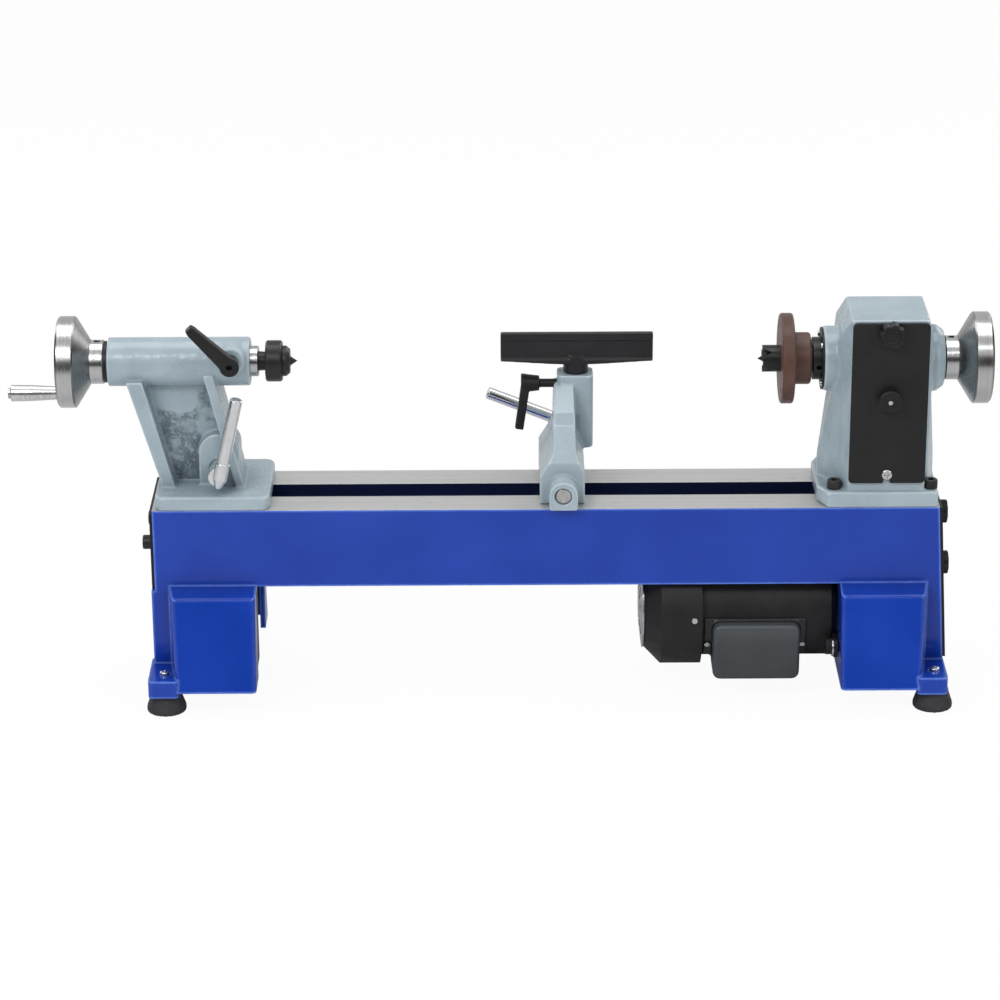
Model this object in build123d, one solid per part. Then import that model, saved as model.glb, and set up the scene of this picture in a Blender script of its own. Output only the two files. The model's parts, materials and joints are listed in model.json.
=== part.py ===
from build123d import *
from math import asin, cos, radians, sin
import os

# A benchtop wood lathe in millimetres. X runs along the bed towards the outboard handwheel, Y towards
# the operator and Z up from the floor. The spindle line lies at Y = 0 until the end, where the whole
# machine is shifted so that its origin is the middle of its base.

# Overall
BED_TOP = 186.5  # ways above the floor
SWING_RADIUS = 127.0  # spindle line above the ways
BED_LEFT = -317.5
BED_RIGHT = 400.7  # at the top of the ways
BED_WIDTH = 100.0
BED_DEPTH = 75.0  # height of the bed's side wall
LEG_SPREAD = 186.0  # front to back over the legs' lower edge

# Bed
WAY_GAP = 31.0
WAY_THICKNESS = 12.0
BED_WALL = 6.0
END_SLOPE = 8.1 / 145.0  # the right end leans out by this much per millimetre down
COLUMN_LEFT = -320.9
COLUMN_WIDTH = 21.0
LEG_LENGTH = 73.0  # of each leg's box along X, at its face
LEG_TAPER = 7.0  # how much wider the box is at its root
LEG_WALL = 5.0
LEG_ROUND = 4.5
LEG_BOTTOM = 23.0
LEG_SHOULDER = 142.0  # front to back at the top of the box
PAD_TOP = 35.0
PAD_BOTTOM = 18.5
PAD_LENGTH = 28.0
RIB_HEIGHT = 22.0
RIB_PLACES = (-120.0, 60.0)
BELT_OPENING = 84.0  # front to back

# Feet
FOOT_BASE = 18.2
FOOT_TOP = 14.0
FOOT_RECESS = 8.5
FOOT_INSET = 15.0  # of the foot's centre from the column's outer face
FOOT_OFFSET = 75.0  # of the foot's centre from the middle plane
BOLT = 4.0  # shank radius of the M8 bolts
HOLE_CLEARANCE = 0.3

# Headstock
HEAD_NEAR = 316.8
HEAD_LENGTH = 69.4
HEAD_HEIGHT = 178.0  # above the ways
HEAD_HALF_DEPTH = 45.0
HEAD_FLARE = 26.0  # how far its ends stand out in the middle plane
HEAD_TOP_FAR = 25.0
HEAD_BASE_LEFT = 298.0
HEAD_BASE_RIGHT = 399.5
HEAD_BASE_HEIGHT = 15.0
HEAD_WALL = 9.0
BOSS_LEFT = 294.0
BOSS_RIGHT = 404.0
BOSS_RADIUS = 29.5
CAP_THICKNESS = 1.2
BEARING_RADIUS = 21.0
BEARING_WIDTH = 12.0
RUNNING = 0.05  # radial clearance of every running fit
COVER_THICKNESS = 3.0
COVER_HEIGHT = 152.6
COVER_BOTTOM = 23.0  # above the ways

# Spindle and drive
SHAFT_RADIUS = 10.0
SPINDLE_BORE = 4.9
NOSE_RADIUS = 12.5
NOSE_START = 262.0
COLLAR_START = 285.0
COLLAR_END = 298.4
COLLAR_RADIUS = 19.45
SPINDLE_END = 436.4
PLATE_START = 255.5
PLATE_THICKNESS = 11.5
PLATE_RADIUS = 41.25
PLATE_HUB_RADIUS = 23.75
PLATE_HUB_END = 283.0
PLATE_SCREW_RADIUS = 2.6
PLATE_SCREW_CIRCLE = 64.0
PLATE_SCREWS = 4
TAPER_RADIUS = 8.9
TAPER_SMALL = 7.4
TAPER_LENGTH = 58.0
SPUR_TIP = 234.9
SPUR_RADIUS = 12.25
SPUR_LENGTH = 16.5
STEP_RADII = (37.0, 32.0, 27.0, 21.5, 17.0)
STEP_SUM = 53.0  # a spindle step's radius plus its motor step's
STEP_WIDTH = 9.0
PULLEY_START = 328.5
BELT_STEP = 2
BELT_WIDTH = 7.0
BELT_THICKNESS = 2.5
WHEEL_RADIUS = 41.8
WHEEL_RIM = 16.4
WHEEL_CONE = 12.9
WHEEL_HUB = 12.0
WHEEL_HUB_RADIUS = 20.1
WHEEL_NECK_RADIUS = 19.5

# Motor
MOTOR_Z = 71.5
MOTOR_RADIUS = 48.3
MOTOR_START = 186.0
MOTOR_SEAM = 299.0
MOTOR_END = 310.5
MOTOR_WALL = 4.0
MOTOR_SHAFT = 7.0
SHROUD_START = 133.0
SHROUD_RADIUS = 56.0
SHROUD_NOSE = 40.0
SHROUD_CHAMFER = 15.5
MOUNT_REACH = 56.0  # of the mounting bolts from the motor's middle plane
MOUNT_DROP = 21.0
CAPACITOR_LEFT = 195.6
CAPACITOR_RIGHT = 275.8
CAPACITOR_HIGH = 74.9
CAPACITOR_LOW = 20.7
CAPACITOR_FACE = 64.0

# Tailstock
BARREL_LEFT = -356.0
BARREL_RIGHT = -226.5
BARREL_RADIUS = 22.25
TAIL_BASE_LEFT = -315.0
TAIL_BASE_RIGHT = -210.0
TAIL_BASE_HEIGHT = 13.0
TAIL_HALF_DEPTH = 25.0
WEB = 10.0
QUILL_RADIUS = 14.0
QUILL_FRONT = -219.0
QUILL_LENGTH = 112.0
SCREW_RADIUS = 6.0
LOCK_X = -257.0
LOCK_HEIGHT = 29.7  # above the ways
LOCK_RADIUS = 8.5
LOCK_PAD = 18.6
LOCK_FACE = 18.0
QUILL_LOCK_X = -242.7
QUILL_LOCK_RISE = 9.5  # of the quill lock's screw above the spindle line
QUILL_LOCK_END = -29.0
QUILL_LOCK_TIP = -14.2
CRANK_DROP = 30.0
CRANK_END = -448.6
LIVE_NECK = 6.5
LIVE_BODY = 15.0
LIVE_RADIUS = 18.85
LIVE_NOSE = 7.0
LIVE_NOSE_RADIUS = 14.0
LIVE_TIP = 6.7

# Tool rest
BANJO_LEFT = 36.5
BANJO_WIDTH = 41.0
BANJO_BACK = -38.0
BANJO_NOSE = -60.0
BANJO_FRONT = 66.0
BANJO_SLEEVE = 128.0
BANJO_HEIGHT = 42.0
ROD_X = 57.8
ROD_HEIGHT = 16.0
ROD_RADIUS = 6.7
CHANNEL_WIDTH = 23.5
CHANNEL_BACK = -33.0
CHANNEL_FRONT = 27.5
POST_X = 70.7
POST_Y = 50.0
POST_RADIUS = 8.0
POST_LENGTH = 66.0
BOSS_TOP = 98.0
BLADE_LEFT = 1.2
BLADE_LENGTH = 140.6
BLADE_TOP = 138.0
BLADE_BOTTOM = 107.6
CLAMP_GAP = 0.3
LEVER_RADIUS = 5.8

# Bed ends and switch
LEFT_PLATE_TOP = BED_TOP - 2.7
LEFT_PLATE_LOW = BED_TOP - 79.0
PLATE = 3.0
PLATE_HALF = 46.0
END_BOLT_Y = 30.0
END_BOLT_DROP = 38.3
RIGHT_COVER_TOP = BED_TOP - 2.0
RIGHT_COVER_LOW = PAD_TOP + 1.0
KNOB_DROPS = (23.75, 74.75)
KNOB_RADIUS = 11.0
KNOB_HEIGHT = 8.0
SWITCH_LEFT = -292.0
SWITCH_WIDTH = 54.0
SWITCH_LOW = 42.0
SWITCH_HEIGHT = 62.0
SWITCH_FACE = 112.0

SPINDLE_Z = BED_TOP + SWING_RADIUS
HALF = BED_WIDTH / 2
parts = {}
os.makedirs("parts", exist_ok=True)


def block(x0, x1, y0, y1, z0, z1):
    """A box between two corners."""
    centre = Pos((x0 + x1) / 2, (y0 + y1) / 2, (z0 + z1) / 2)
    return centre * Box(x1 - x0, y1 - y0, z1 - z0)


def rounded(x0, x1, y0, y1, z0, z1, radius, axis=Axis.Z):
    """A box with its edges along one axis rounded."""
    shape = Box(x1 - x0, y1 - y0, z1 - z0)
    shape = fillet(shape.edges().filter_by(axis), radius)
    return Pos((x0 + x1) / 2, (y0 + y1) / 2, (z0 + z1) / 2) * shape


def bar_x(x0, x1, radius, y=0.0, z=SPINDLE_Z):
    return Pos((x0 + x1) / 2, y, z) * Rot(0, 90, 0) * Cylinder(radius, x1 - x0)


def bar_y(y0, y1, radius, x, z):
    return Pos(x, (y0 + y1) / 2, z) * Rot(90, 0, 0) * Cylinder(radius, y1 - y0)


def bar_z(z0, z1, radius, x, y):
    return Pos(x, y, (z0 + z1) / 2) * Cylinder(radius, z1 - z0)


def turned(points, y=0.0, z=SPINDLE_Z):
    """A solid of revolution about a line along X, from its (x, radius) outline."""
    outline = make_face(Polyline(*[(x, r, 0) for x, r in points], close=True))
    return Pos(0, y, z) * revolve(outline, Axis.X)


def along_x(points, x0, x1):
    """A (y, z) outline drawn out along X."""
    outline = make_face(Polyline(*[(x0, y, z) for y, z in points], close=True))
    return extrude(outline, amount=x1 - x0, dir=(1, 0, 0))


def along_y(points, y0, y1):
    """An (x, z) outline drawn out along Y."""
    outline = make_face(Polyline(*[(x, y0, z) for x, z in points], close=True))
    return extrude(outline, amount=y1 - y0, dir=(0, 1, 0))


def along_z(points, z0, z1):
    """An (x, y) outline drawn out along Z."""
    outline = make_face(Polyline(*[(x, y, z0) for x, y in points], close=True))
    return extrude(outline, amount=z1 - z0, dir=(0, 0, 1))


def grouped(shapes):
    """Several separate solids as one node."""
    return Compound(children=[solid for shape in shapes for solid in shape.solids()])


def hexagon(flats, height):
    """A hexagonal prism standing on the origin."""
    return extrude(RegularPolygon(flats / 2, 6, major_radius=False), amount=height)


def rod_between(start, end, radius):
    """A round bar from one point to another."""
    line = Vector(*end) - Vector(*start)
    return Plane(origin=start, z_dir=line) * Pos(0, 0, line.length / 2) * Cylinder(radius, line.length)


def cone_between(start, end, radius, end_radius):
    """A tapered bar from one point to another."""
    line = Vector(*end) - Vector(*start)
    centre = Pos(0, 0, line.length / 2)
    return Plane(origin=start, z_dir=line) * centre * Cone(radius, end_radius, line.length)


# ---------------------------------------------------------------- bed and legs
def leg_box(root, sign, inset, bottom):
    """One leg's box: it flares out downwards and narrows along X towards each face.

    root is the box's inner end, sign is -1 where the column lies to its left and 1 to its right.
    """
    far = root + sign * (LEG_LENGTH - inset)
    root = root + sign * inset
    wide = LEG_SPREAD / 2 - inset
    shoulder = LEG_SHOULDER / 2 - inset
    top = BED_TOP - BED_DEPTH - inset
    plan = [
        (root, -wide),
        (far, -wide),
        (far + sign * LEG_TAPER, -HALF + inset),
        (far + sign * LEG_TAPER, HALF - inset),
        (far, wide),
        (root, wide),
    ]
    profile = [
        (-wide, bottom),
        (-shoulder, top - 3.5),
        (-HALF + inset, top + 1.0),
        (HALF - inset, top + 1.0),
        (shoulder, top - 3.5),
        (wide, bottom),
    ]
    low, high = min(root, far) - LEG_TAPER, max(root, far) + LEG_TAPER
    return along_z(plan, bottom, top + 2) & along_x(profile, low, high)


def end_x(z):
    """Where the right end's sloping face is at a height."""
    return BED_RIGHT + (BED_TOP - z) * END_SLOPE


LEFT_ROOT = COLUMN_LEFT + COLUMN_WIDTH + LEG_TAPER + LEG_LENGTH - 4.5
RIGHT_COLUMN = end_x(PAD_TOP)
RIGHT_ROOT = RIGHT_COLUMN - COLUMN_WIDTH - LEG_TAPER - LEG_LENGTH + 3.8
LEG_INNER_WALL = 8.0


def on_leg_face(edge):
    """Whether an edge bounds one of a leg's two faces, above its foot."""
    centre = edge.center()
    return abs(centre.Y) > LEG_SHOULDER / 2 - 5 and centre.Z > LEG_BOTTOM + 5


def make_bed():
    under = BED_TOP - BED_DEPTH
    body = along_y(
        [
            (BED_LEFT, under),
            (end_x(under), under),
            (BED_RIGHT, BED_TOP),
            (BED_LEFT, BED_TOP),
        ],
        -HALF,
        HALF,
    )
    left_column = block(BED_LEFT, LEFT_ROOT - 20, -HALF, HALF, LEG_BOTTOM, under + 1)
    left_column += block(COLUMN_LEFT, BED_LEFT + 1, -HALF, HALF, LEG_BOTTOM, LEFT_PLATE_LOW - CLAMP_GAP)
    right_column = along_y(
        [
            (RIGHT_ROOT + 20, LEG_BOTTOM),
            (end_x(LEG_BOTTOM), LEG_BOTTOM),
            (end_x(under), under),
            (RIGHT_ROOT + 20, under),
        ],
        -HALF,
        HALF,
    )
    left_leg = leg_box(LEFT_ROOT, -1, 0, LEG_BOTTOM)
    right_leg = leg_box(RIGHT_ROOT, 1, 0, LEG_BOTTOM)
    left_leg = fillet(left_leg.edges().filter_by(on_leg_face), LEG_ROUND)
    right_leg = fillet(right_leg.edges().filter_by(on_leg_face), LEG_ROUND)
    bed = body + left_column + right_column + left_leg + right_leg
    wide = LEG_SPREAD / 2
    for side in (-1, 1):
        y0, y1 = sorted((side * (HALF - 12), side * wide))
        left_pad = rounded(COLUMN_LEFT - 2.7, COLUMN_LEFT - 2.7 + PAD_LENGTH, y0, y1, PAD_BOTTOM, PAD_TOP, 4)
        right_end = end_x(PAD_TOP) + 0.6
        right_pad = rounded(right_end - PAD_LENGTH, right_end, y0, y1, PAD_BOTTOM, PAD_TOP, 4)
        bed = bed + left_pad + right_pad
    inner = HALF - BED_WALL
    ways = BED_TOP - WAY_THICKNESS
    bed -= block(BED_LEFT - 1, end_x(ways) + 9, -inner, inner, under - 5, ways)
    bed -= block(BED_LEFT - 1, HEAD_BASE_LEFT - 8, -WAY_GAP / 2, WAY_GAP / 2, ways - 1, BED_TOP + 1)
    belt_left = HEAD_NEAR + HEAD_WALL - 3
    belt_right = HEAD_NEAR + HEAD_LENGTH - HEAD_WALL + 3
    bed -= block(belt_left, belt_right, -BELT_OPENING / 2, BELT_OPENING / 2, ways - 1, BED_TOP + 1)
    bed -= leg_box(LEFT_ROOT, -1, LEG_WALL, LEG_BOTTOM - 1)
    bed -= leg_box(RIGHT_ROOT + LEG_INNER_WALL - LEG_WALL, 1, LEG_WALL, LEG_BOTTOM - 1)
    opening = LEG_SHOULDER / 2 - 14
    bed -= block(LEFT_ROOT - 30, LEFT_ROOT + 1, -opening, opening, LEG_BOTTOM - 1, under - 4)
    bed -= block(COLUMN_LEFT + 5, LEFT_ROOT - 15, -inner, inner, LEG_BOTTOM - 1, under + 1)
    bed -= block(RIGHT_ROOT + 30, RIGHT_COLUMN + 9, -inner, inner, LEG_BOTTOM - 1, under + 1)
    wall_top = BED_TOP - WAY_THICKNESS
    bed += block(RIGHT_ROOT, RIGHT_ROOT + LEG_INNER_WALL, -inner - 1, inner + 1, under - 8, wall_top + 1)
    for place in RIB_PLACES:
        bed += block(place - 4, place + 4, -inner - 1, inner + 1, under, under + RIB_HEIGHT)
    for drop in KNOB_DROPS:
        z = BED_TOP - drop
        bed += block(BED_RIGHT - 8, BED_RIGHT - 2, -inner - 1, inner + 1, z - 5, z + 5)
        bed -= bar_x(BED_RIGHT - 9, BED_RIGHT, 3.1, 0, z)
    for y in (-END_BOLT_Y, END_BOLT_Y):
        z = BED_TOP - END_BOLT_DROP
        wall_y = inner + 1 if y > 0 else -inner - 1
        ear = block(BED_LEFT, BED_LEFT + 12, *sorted((y, wall_y)), z - 6, z + 6)
        bed += ear + bar_x(BED_LEFT, BED_LEFT + 12, 6, y, z)
        bed -= bar_x(BED_LEFT - 1, BED_LEFT + 11, 3.1, y, z)
    wall = (RIGHT_ROOT - 1, RIGHT_ROOT + LEG_INNER_WALL + 1)
    bed -= bar_x(*wall, 15, 0, MOTOR_Z)
    pivot_z = MOTOR_Z - MOUNT_DROP
    bed -= bar_x(*wall, BOLT + HOLE_CLEARANCE, MOUNT_REACH, pivot_z)
    slot_low = -MOUNT_REACH - BOLT - 0.6
    slot_high = -MOUNT_REACH + BOLT + 0.6
    bed -= rounded(*wall, slot_low, slot_high, pivot_z - 10, pivot_z + 10, 4.5, Axis.X)
    for x, y in foot_places():
        bed -= bar_z(PAD_BOTTOM - 1, PAD_TOP + 1, BOLT + HOLE_CLEARANCE, x, y)
    for x, y in head_bolt_places():
        bed -= bar_z(ways - 1, BED_TOP + 1, BOLT + HOLE_CLEARANCE, x, y)
    return bed


def foot_places():
    right = RIGHT_COLUMN - FOOT_INSET + 4
    return [(x, y) for x in (COLUMN_LEFT + FOOT_INSET - 2.6, right) for y in (-FOOT_OFFSET, FOOT_OFFSET)]


def head_bolt_places():
    columns = (HEAD_BASE_LEFT + 6.8, HEAD_BASE_RIGHT - 6.7)
    return [(x, y) for x in columns for y in (-HALF + 12, HALF - 12)]


def make_foot(x, y):
    outline = [
        (0, 0),
        (0, FOOT_BASE),
        (4, FOOT_BASE),
        (PAD_BOTTOM * 0.75, FOOT_TOP + 0.8),
        (PAD_BOTTOM, FOOT_TOP),
        (PAD_BOTTOM, 0),
    ]
    foot = Pos(x, y, 0) * Rot(0, -90, 0) * turned(outline, 0, 0)
    foot -= bar_z(-1, 8, FOOT_RECESS, x, y)
    return foot - bar_z(0, PAD_BOTTOM + 1, BOLT + HOLE_CLEARANCE, x, y)


def make_foot_bolts():
    bolts = []
    for x, y in foot_places():
        bolt = Pos(x, y, 2.7) * hexagon(13, 5.3) + bar_z(8, PAD_TOP + 8.5, BOLT, x, y)
        nut = Pos(x, y, PAD_TOP) * hexagon(13, 6.5) - bar_z(PAD_TOP, PAD_TOP + 7, BOLT + 0.02, x, y)
        bolts += [bolt, nut]
    return grouped(bolts)


parts["bed"] = make_bed()
parts["feet"] = grouped([make_foot(*place) for place in foot_places()])
parts["foot_bolts"] = make_foot_bolts()


# ---------------------------------------------------------------- headstock
HEAD_FAR = HEAD_NEAR + HEAD_LENGTH
HEAD_TOP = BED_TOP + HEAD_HEIGHT
CAVITY_LEFT = HEAD_NEAR + HEAD_WALL
CAVITY_RIGHT = HEAD_FAR - HEAD_WALL + 1
FRONT_BEARING = BOSS_LEFT + 5.0
REAR_BEARING = BOSS_RIGHT - 5.0 - BEARING_WIDTH
COVER_LOW = BED_TOP + COVER_BOTTOM
COVER_TOP = COVER_LOW + COVER_HEIGHT
COVER_MIDDLE = HEAD_NEAR + HEAD_LENGTH / 2
COVER_SCREW_Z = COVER_LOW + 8.5
COVER_KNOB_Z = COVER_TOP - 8.6
COVER_PULL_Z = COVER_LOW + 81.2
CAVITY_TOP = COVER_KNOB_Z - 1.0
CAP_SCREWS = 4


def make_headstock():
    middle_left = HEAD_NEAR - HEAD_FLARE
    middle_right = HEAD_FAR + HEAD_FLARE / 2
    depth = HEAD_HALF_DEPTH
    base = along_z(
        [
            (HEAD_BASE_LEFT, -HALF),
            (HEAD_BASE_RIGHT, -HALF),
            (HEAD_BASE_RIGHT, HALF),
            (HEAD_BASE_LEFT, HALF),
            (HEAD_BASE_LEFT - 8.5, HALF - 18),
            (HEAD_BASE_LEFT - 8.5, -HALF + 18),
        ],
        BED_TOP,
        BED_TOP + HEAD_BASE_HEIGHT,
    )
    base = fillet(base.edges().filter_by(Axis.Z), 4)
    base = fillet(base.edges().group_by(Axis.Z)[-1], 2)
    plan = along_z(
        [
            (HEAD_NEAR, -depth),
            (HEAD_FAR, -depth),
            (middle_right, 0),
            (HEAD_FAR, depth),
            (HEAD_NEAR, depth),
            (middle_left, 0),
        ],
        BED_TOP,
        HEAD_TOP,
    )
    front = along_y(
        [
            (middle_left, BED_TOP),
            (middle_right, BED_TOP),
            (middle_right - 1, BED_TOP + 35),
            (HEAD_FAR + 6, BED_TOP + 96),
            (HEAD_FAR + 3, BED_TOP + 161),
            (HEAD_FAR, HEAD_TOP),
            (HEAD_NEAR, HEAD_TOP),
            (HEAD_NEAR - 8.3, BED_TOP + 161),
            (HEAD_NEAR - 15.8, BED_TOP + 96),
            (middle_left + 1, BED_TOP + 35),
        ],
        -depth,
        depth,
    )
    side = along_x(
        [
            (-depth, BED_TOP),
            (depth, BED_TOP),
            (depth, BED_TOP + 122),
            (HEAD_TOP_FAR, HEAD_TOP),
            (-depth, HEAD_TOP),
        ],
        middle_left,
        middle_right,
    )
    tower = plan & front & side
    left_boss = bar_x(BOSS_LEFT, CAVITY_LEFT + 2, BOSS_RADIUS)
    left_boss = fillet(left_boss.edges().group_by(Axis.X)[0], 2)
    right_boss = turned(
        [
            (CAVITY_RIGHT - 2, 0),
            (CAVITY_RIGHT - 2, BOSS_RADIUS + 1),
            (BOSS_RIGHT - 7, BOSS_RADIUS + 1),
            (BOSS_RIGHT, BOSS_RADIUS - 4),
            (BOSS_RIGHT, 0),
        ]
    )
    head = base + tower + left_boss + right_boss
    inside = depth - HEAD_WALL
    head -= block(CAVITY_LEFT, CAVITY_RIGHT, -inside, inside + 4, BED_TOP - 1, SPINDLE_Z)
    head -= bar_x(CAVITY_LEFT, CAVITY_RIGHT, STEP_RADII[0] + 1 + 2 * CLAMP_GAP)
    low = COVER_SCREW_Z + 8
    high = CAVITY_TOP - 9
    opening = rounded(CAVITY_LEFT, CAVITY_RIGHT, -depth - 6, -inside + 1, low, high, 5, Axis.Y)
    head -= opening
    head -= bar_x(BOSS_LEFT - 1, FRONT_BEARING + BEARING_WIDTH, BEARING_RADIUS)
    head -= bar_x(REAR_BEARING, BOSS_RIGHT + 1, BEARING_RADIUS)
    head -= bar_x(BOSS_LEFT, BOSS_RIGHT, BEARING_RADIUS - 4)
    for x, y in head_bolt_places():
        seat = BED_TOP + HEAD_BASE_HEIGHT
        head -= bar_z(BED_TOP - 1, seat + 1, BOLT + HOLE_CLEARANCE, x, y)
        head -= bar_z(seat, HEAD_TOP, BOLT * 1.9, x, y)
    head -= bar_y(-depth - 1, -depth + 8, 2.6, COVER_MIDDLE, COVER_SCREW_Z)
    head -= bar_y(-depth - 1, -depth + 7.5, 3.1, COVER_MIDDLE, COVER_KNOB_Z)
    for y, z in cap_screw_places():
        head -= bar_x(BOSS_LEFT - 1, BOSS_LEFT + 7, 1.6, y, z)
    return head


def cap_screw_places():
    turns = [radians(45 + 360 * i / CAP_SCREWS) for i in range(CAP_SCREWS)]
    reach = (BOSS_RADIUS + BEARING_RADIUS) / 2
    return [(reach * cos(t), SPINDLE_Z + reach * sin(t)) for t in turns]


def make_head_bolts():
    bolts = []
    for x, y in head_bolt_places():
        seat = BED_TOP + HEAD_BASE_HEIGHT
        head = bar_z(seat, seat + 8, 6.5, x, y) - Pos(x, y, seat + 4) * hexagon(6, 5)
        head = chamfer(head.edges().group_by(Axis.Z)[-1].filter_by(GeomType.CIRCLE), 0.8)
        bolts.append(head + bar_z(BED_TOP - WAY_THICKNESS - 6, seat + 1, BOLT, x, y))
    return grouped(bolts)


def make_bearing(start):
    """A shielded ball bearing as one ring, its shields let in between the two races."""
    end = start + BEARING_WIDTH
    inner = SHAFT_RADIUS + RUNNING
    outline = [
        (start, inner),
        (end, inner),
        (end, inner + 3),
        (end - 0.6, inner + 3),
        (end - 0.6, BEARING_RADIUS - 3),
        (end, BEARING_RADIUS - 3),
        (end, BEARING_RADIUS),
        (start, BEARING_RADIUS),
        (start, BEARING_RADIUS - 3),
        (start + 0.6, BEARING_RADIUS - 3),
        (start + 0.6, inner + 3),
        (start, inner + 3),
    ]
    return turned(outline)


def make_bearing_cap():
    face = BOSS_LEFT - CAP_THICKNESS
    cap = bar_x(face, BOSS_LEFT, BOSS_RADIUS - 1.0) - bar_x(face - 1, BOSS_LEFT + 1, COLLAR_RADIUS + 0.6)
    for y, z in cap_screw_places():
        cap -= bar_x(face - 1, BOSS_LEFT + 1, 1.7, y, z)
    return cap


def make_cap_screws():
    screws = []
    for y, z in cap_screw_places():
        face = BOSS_LEFT - CAP_THICKNESS
        screw = bar_x(face - 1.8, face, 2.6, y, z) + bar_x(face - 1, BOSS_LEFT + 6, 1.5, y, z)
        screws.append(screw)
    return grouped(screws)


COVER_FACE = -HEAD_HALF_DEPTH - COVER_THICKNESS


def make_rear_cover():
    cover = rounded(
        HEAD_NEAR, HEAD_FAR, COVER_FACE, -HEAD_HALF_DEPTH, COVER_LOW, COVER_TOP, 4, Axis.Y
    )
    cover -= bar_y(COVER_FACE - 1, -HEAD_HALF_DEPTH + 1, 3.2, COVER_MIDDLE, COVER_SCREW_Z)
    cover -= block(COVER_MIDDLE - 3.2, COVER_MIDDLE + 3.2, COVER_FACE - 1, 0, COVER_LOW - 1, COVER_SCREW_Z)
    cover -= bar_y(COVER_FACE - 1, -HEAD_HALF_DEPTH + 1, 3.2, COVER_MIDDLE, COVER_KNOB_Z)
    cover -= bar_y(COVER_FACE - 1, -HEAD_HALF_DEPTH + 1, 2.1, COVER_MIDDLE, COVER_PULL_Z)
    return cover


def make_fluted_knob(radius, height, stud, reach):
    """A knob standing up from the origin, with a boss in its face and its stud below."""
    knob = Pos(0, 0, height / 2) * Cylinder(radius, height)
    knob = fillet(knob.edges().group_by(Axis.Z)[-1], 1.5)
    for i in range(KNOB_FLUTES):
        turn = radians(360 * i / KNOB_FLUTES)
        place = Pos((radius + 1.6) * cos(turn), (radius + 1.6) * sin(turn), height / 2)
        knob -= place * Cylinder(3.4, height + 1)
    knob -= Pos(0, 0, height) * Cylinder(radius * 0.6, 1.6)
    return knob + Pos(0, 0, -reach / 2) * Cylinder(stud, reach)


KNOB_FLUTES = 7
FACING_BACK = Rot(90, 0, 0)
FACING_RIGHT = Rot(0, 90, 0)


def make_cover_knob():
    knob = make_fluted_knob(11.5, 11, 3, 9.5)
    return Pos(COVER_MIDDLE, COVER_FACE - CLAMP_GAP, COVER_KNOB_Z) * FACING_BACK * knob


def make_cover_pull():
    outline = [(0, 0), (0, 8.2), (5.5, 10.4), (9, 10.7), (10, 9.7), (10, 0)]
    pull = Pos(COVER_MIDDLE, COVER_FACE, COVER_PULL_Z) * Rot(0, 0, -90) * turned(outline, 0, 0)
    pull -= bar_y(COVER_FACE - 11, COVER_FACE + 1, 2.05, COVER_MIDDLE, COVER_PULL_Z)
    return pull


def make_pull_screw():
    return bar_y(COVER_FACE - 10.6, -HEAD_HALF_DEPTH, 2.0, COVER_MIDDLE, COVER_PULL_Z)


def make_cover_screw():
    head = bar_y(COVER_FACE - 2.4, COVER_FACE, 5, COVER_MIDDLE, COVER_SCREW_Z)
    head = fillet(head.edges().group_by(Axis.Y)[0], 1.6)
    for size in ((5.4, 1.1), (1.1, 5.4)):
        slot = Box(size[0], 1.8, size[1])
        head -= Pos(COVER_MIDDLE, COVER_FACE - 2.0, COVER_SCREW_Z) * slot
    return head + bar_y(COVER_FACE - 1, -HEAD_HALF_DEPTH + 7.5, 2.5, COVER_MIDDLE, COVER_SCREW_Z)


# ---------------------------------------------------------------- spindle
def make_spindle():
    outline = [
        (NOSE_START, TAPER_RADIUS + RUNNING),
        (NOSE_START, NOSE_RADIUS),
        (COLLAR_START, NOSE_RADIUS),
        (COLLAR_START, COLLAR_RADIUS),
        (COLLAR_END, COLLAR_RADIUS),
        (COLLAR_END, SHAFT_RADIUS),
        (SPINDLE_END, SHAFT_RADIUS),
        (SPINDLE_END, SPINDLE_BORE),
        (NOSE_START + TAPER_LENGTH, SPINDLE_BORE),
        (NOSE_START + TAPER_LENGTH, TAPER_SMALL + RUNNING),
    ]
    spindle = turned(outline)
    tommy = (COLLAR_START + COLLAR_END) / 2 - 1.5
    hole = Pos(tommy, -COLLAR_RADIUS + 2, SPINDLE_Z - 2.6) * Rot(90, 0, 0) * Cylinder(2.6, 9)
    return spindle - hole


def make_faceplate():
    end = PLATE_START + PLATE_THICKNESS
    outline = [
        (PLATE_START, NOSE_RADIUS),
        (PLATE_START, PLATE_RADIUS - 1.2),
        (PLATE_START + 1.2, PLATE_RADIUS),
        (end - 1.2, PLATE_RADIUS),
        (end, PLATE_RADIUS - 1.2),
        (end, PLATE_HUB_RADIUS),
        (PLATE_HUB_END - 1.5, PLATE_HUB_RADIUS),
        (PLATE_HUB_END, PLATE_HUB_RADIUS - 1.5),
        (PLATE_HUB_END, NOSE_RADIUS),
    ]
    plate = turned(outline)
    flat = PLATE_HUB_RADIUS - 2.2
    for side in (-1, 1):
        z0, z1 = sorted((SPINDLE_Z + side * flat, SPINDLE_Z + side * (flat + 5)))
        plate -= block(end + 4, PLATE_HUB_END + 1, -30, 30, z0, z1)
    for i in range(PLATE_SCREWS):
        turn = radians(45 + 360 * i / PLATE_SCREWS)
        y = PLATE_SCREW_CIRCLE / 2 * cos(turn)
        z = SPINDLE_Z + PLATE_SCREW_CIRCLE / 2 * sin(turn)
        plate -= bar_x(PLATE_START - 1, end + 1, PLATE_SCREW_RADIUS, y, z)
    return plate


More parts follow.
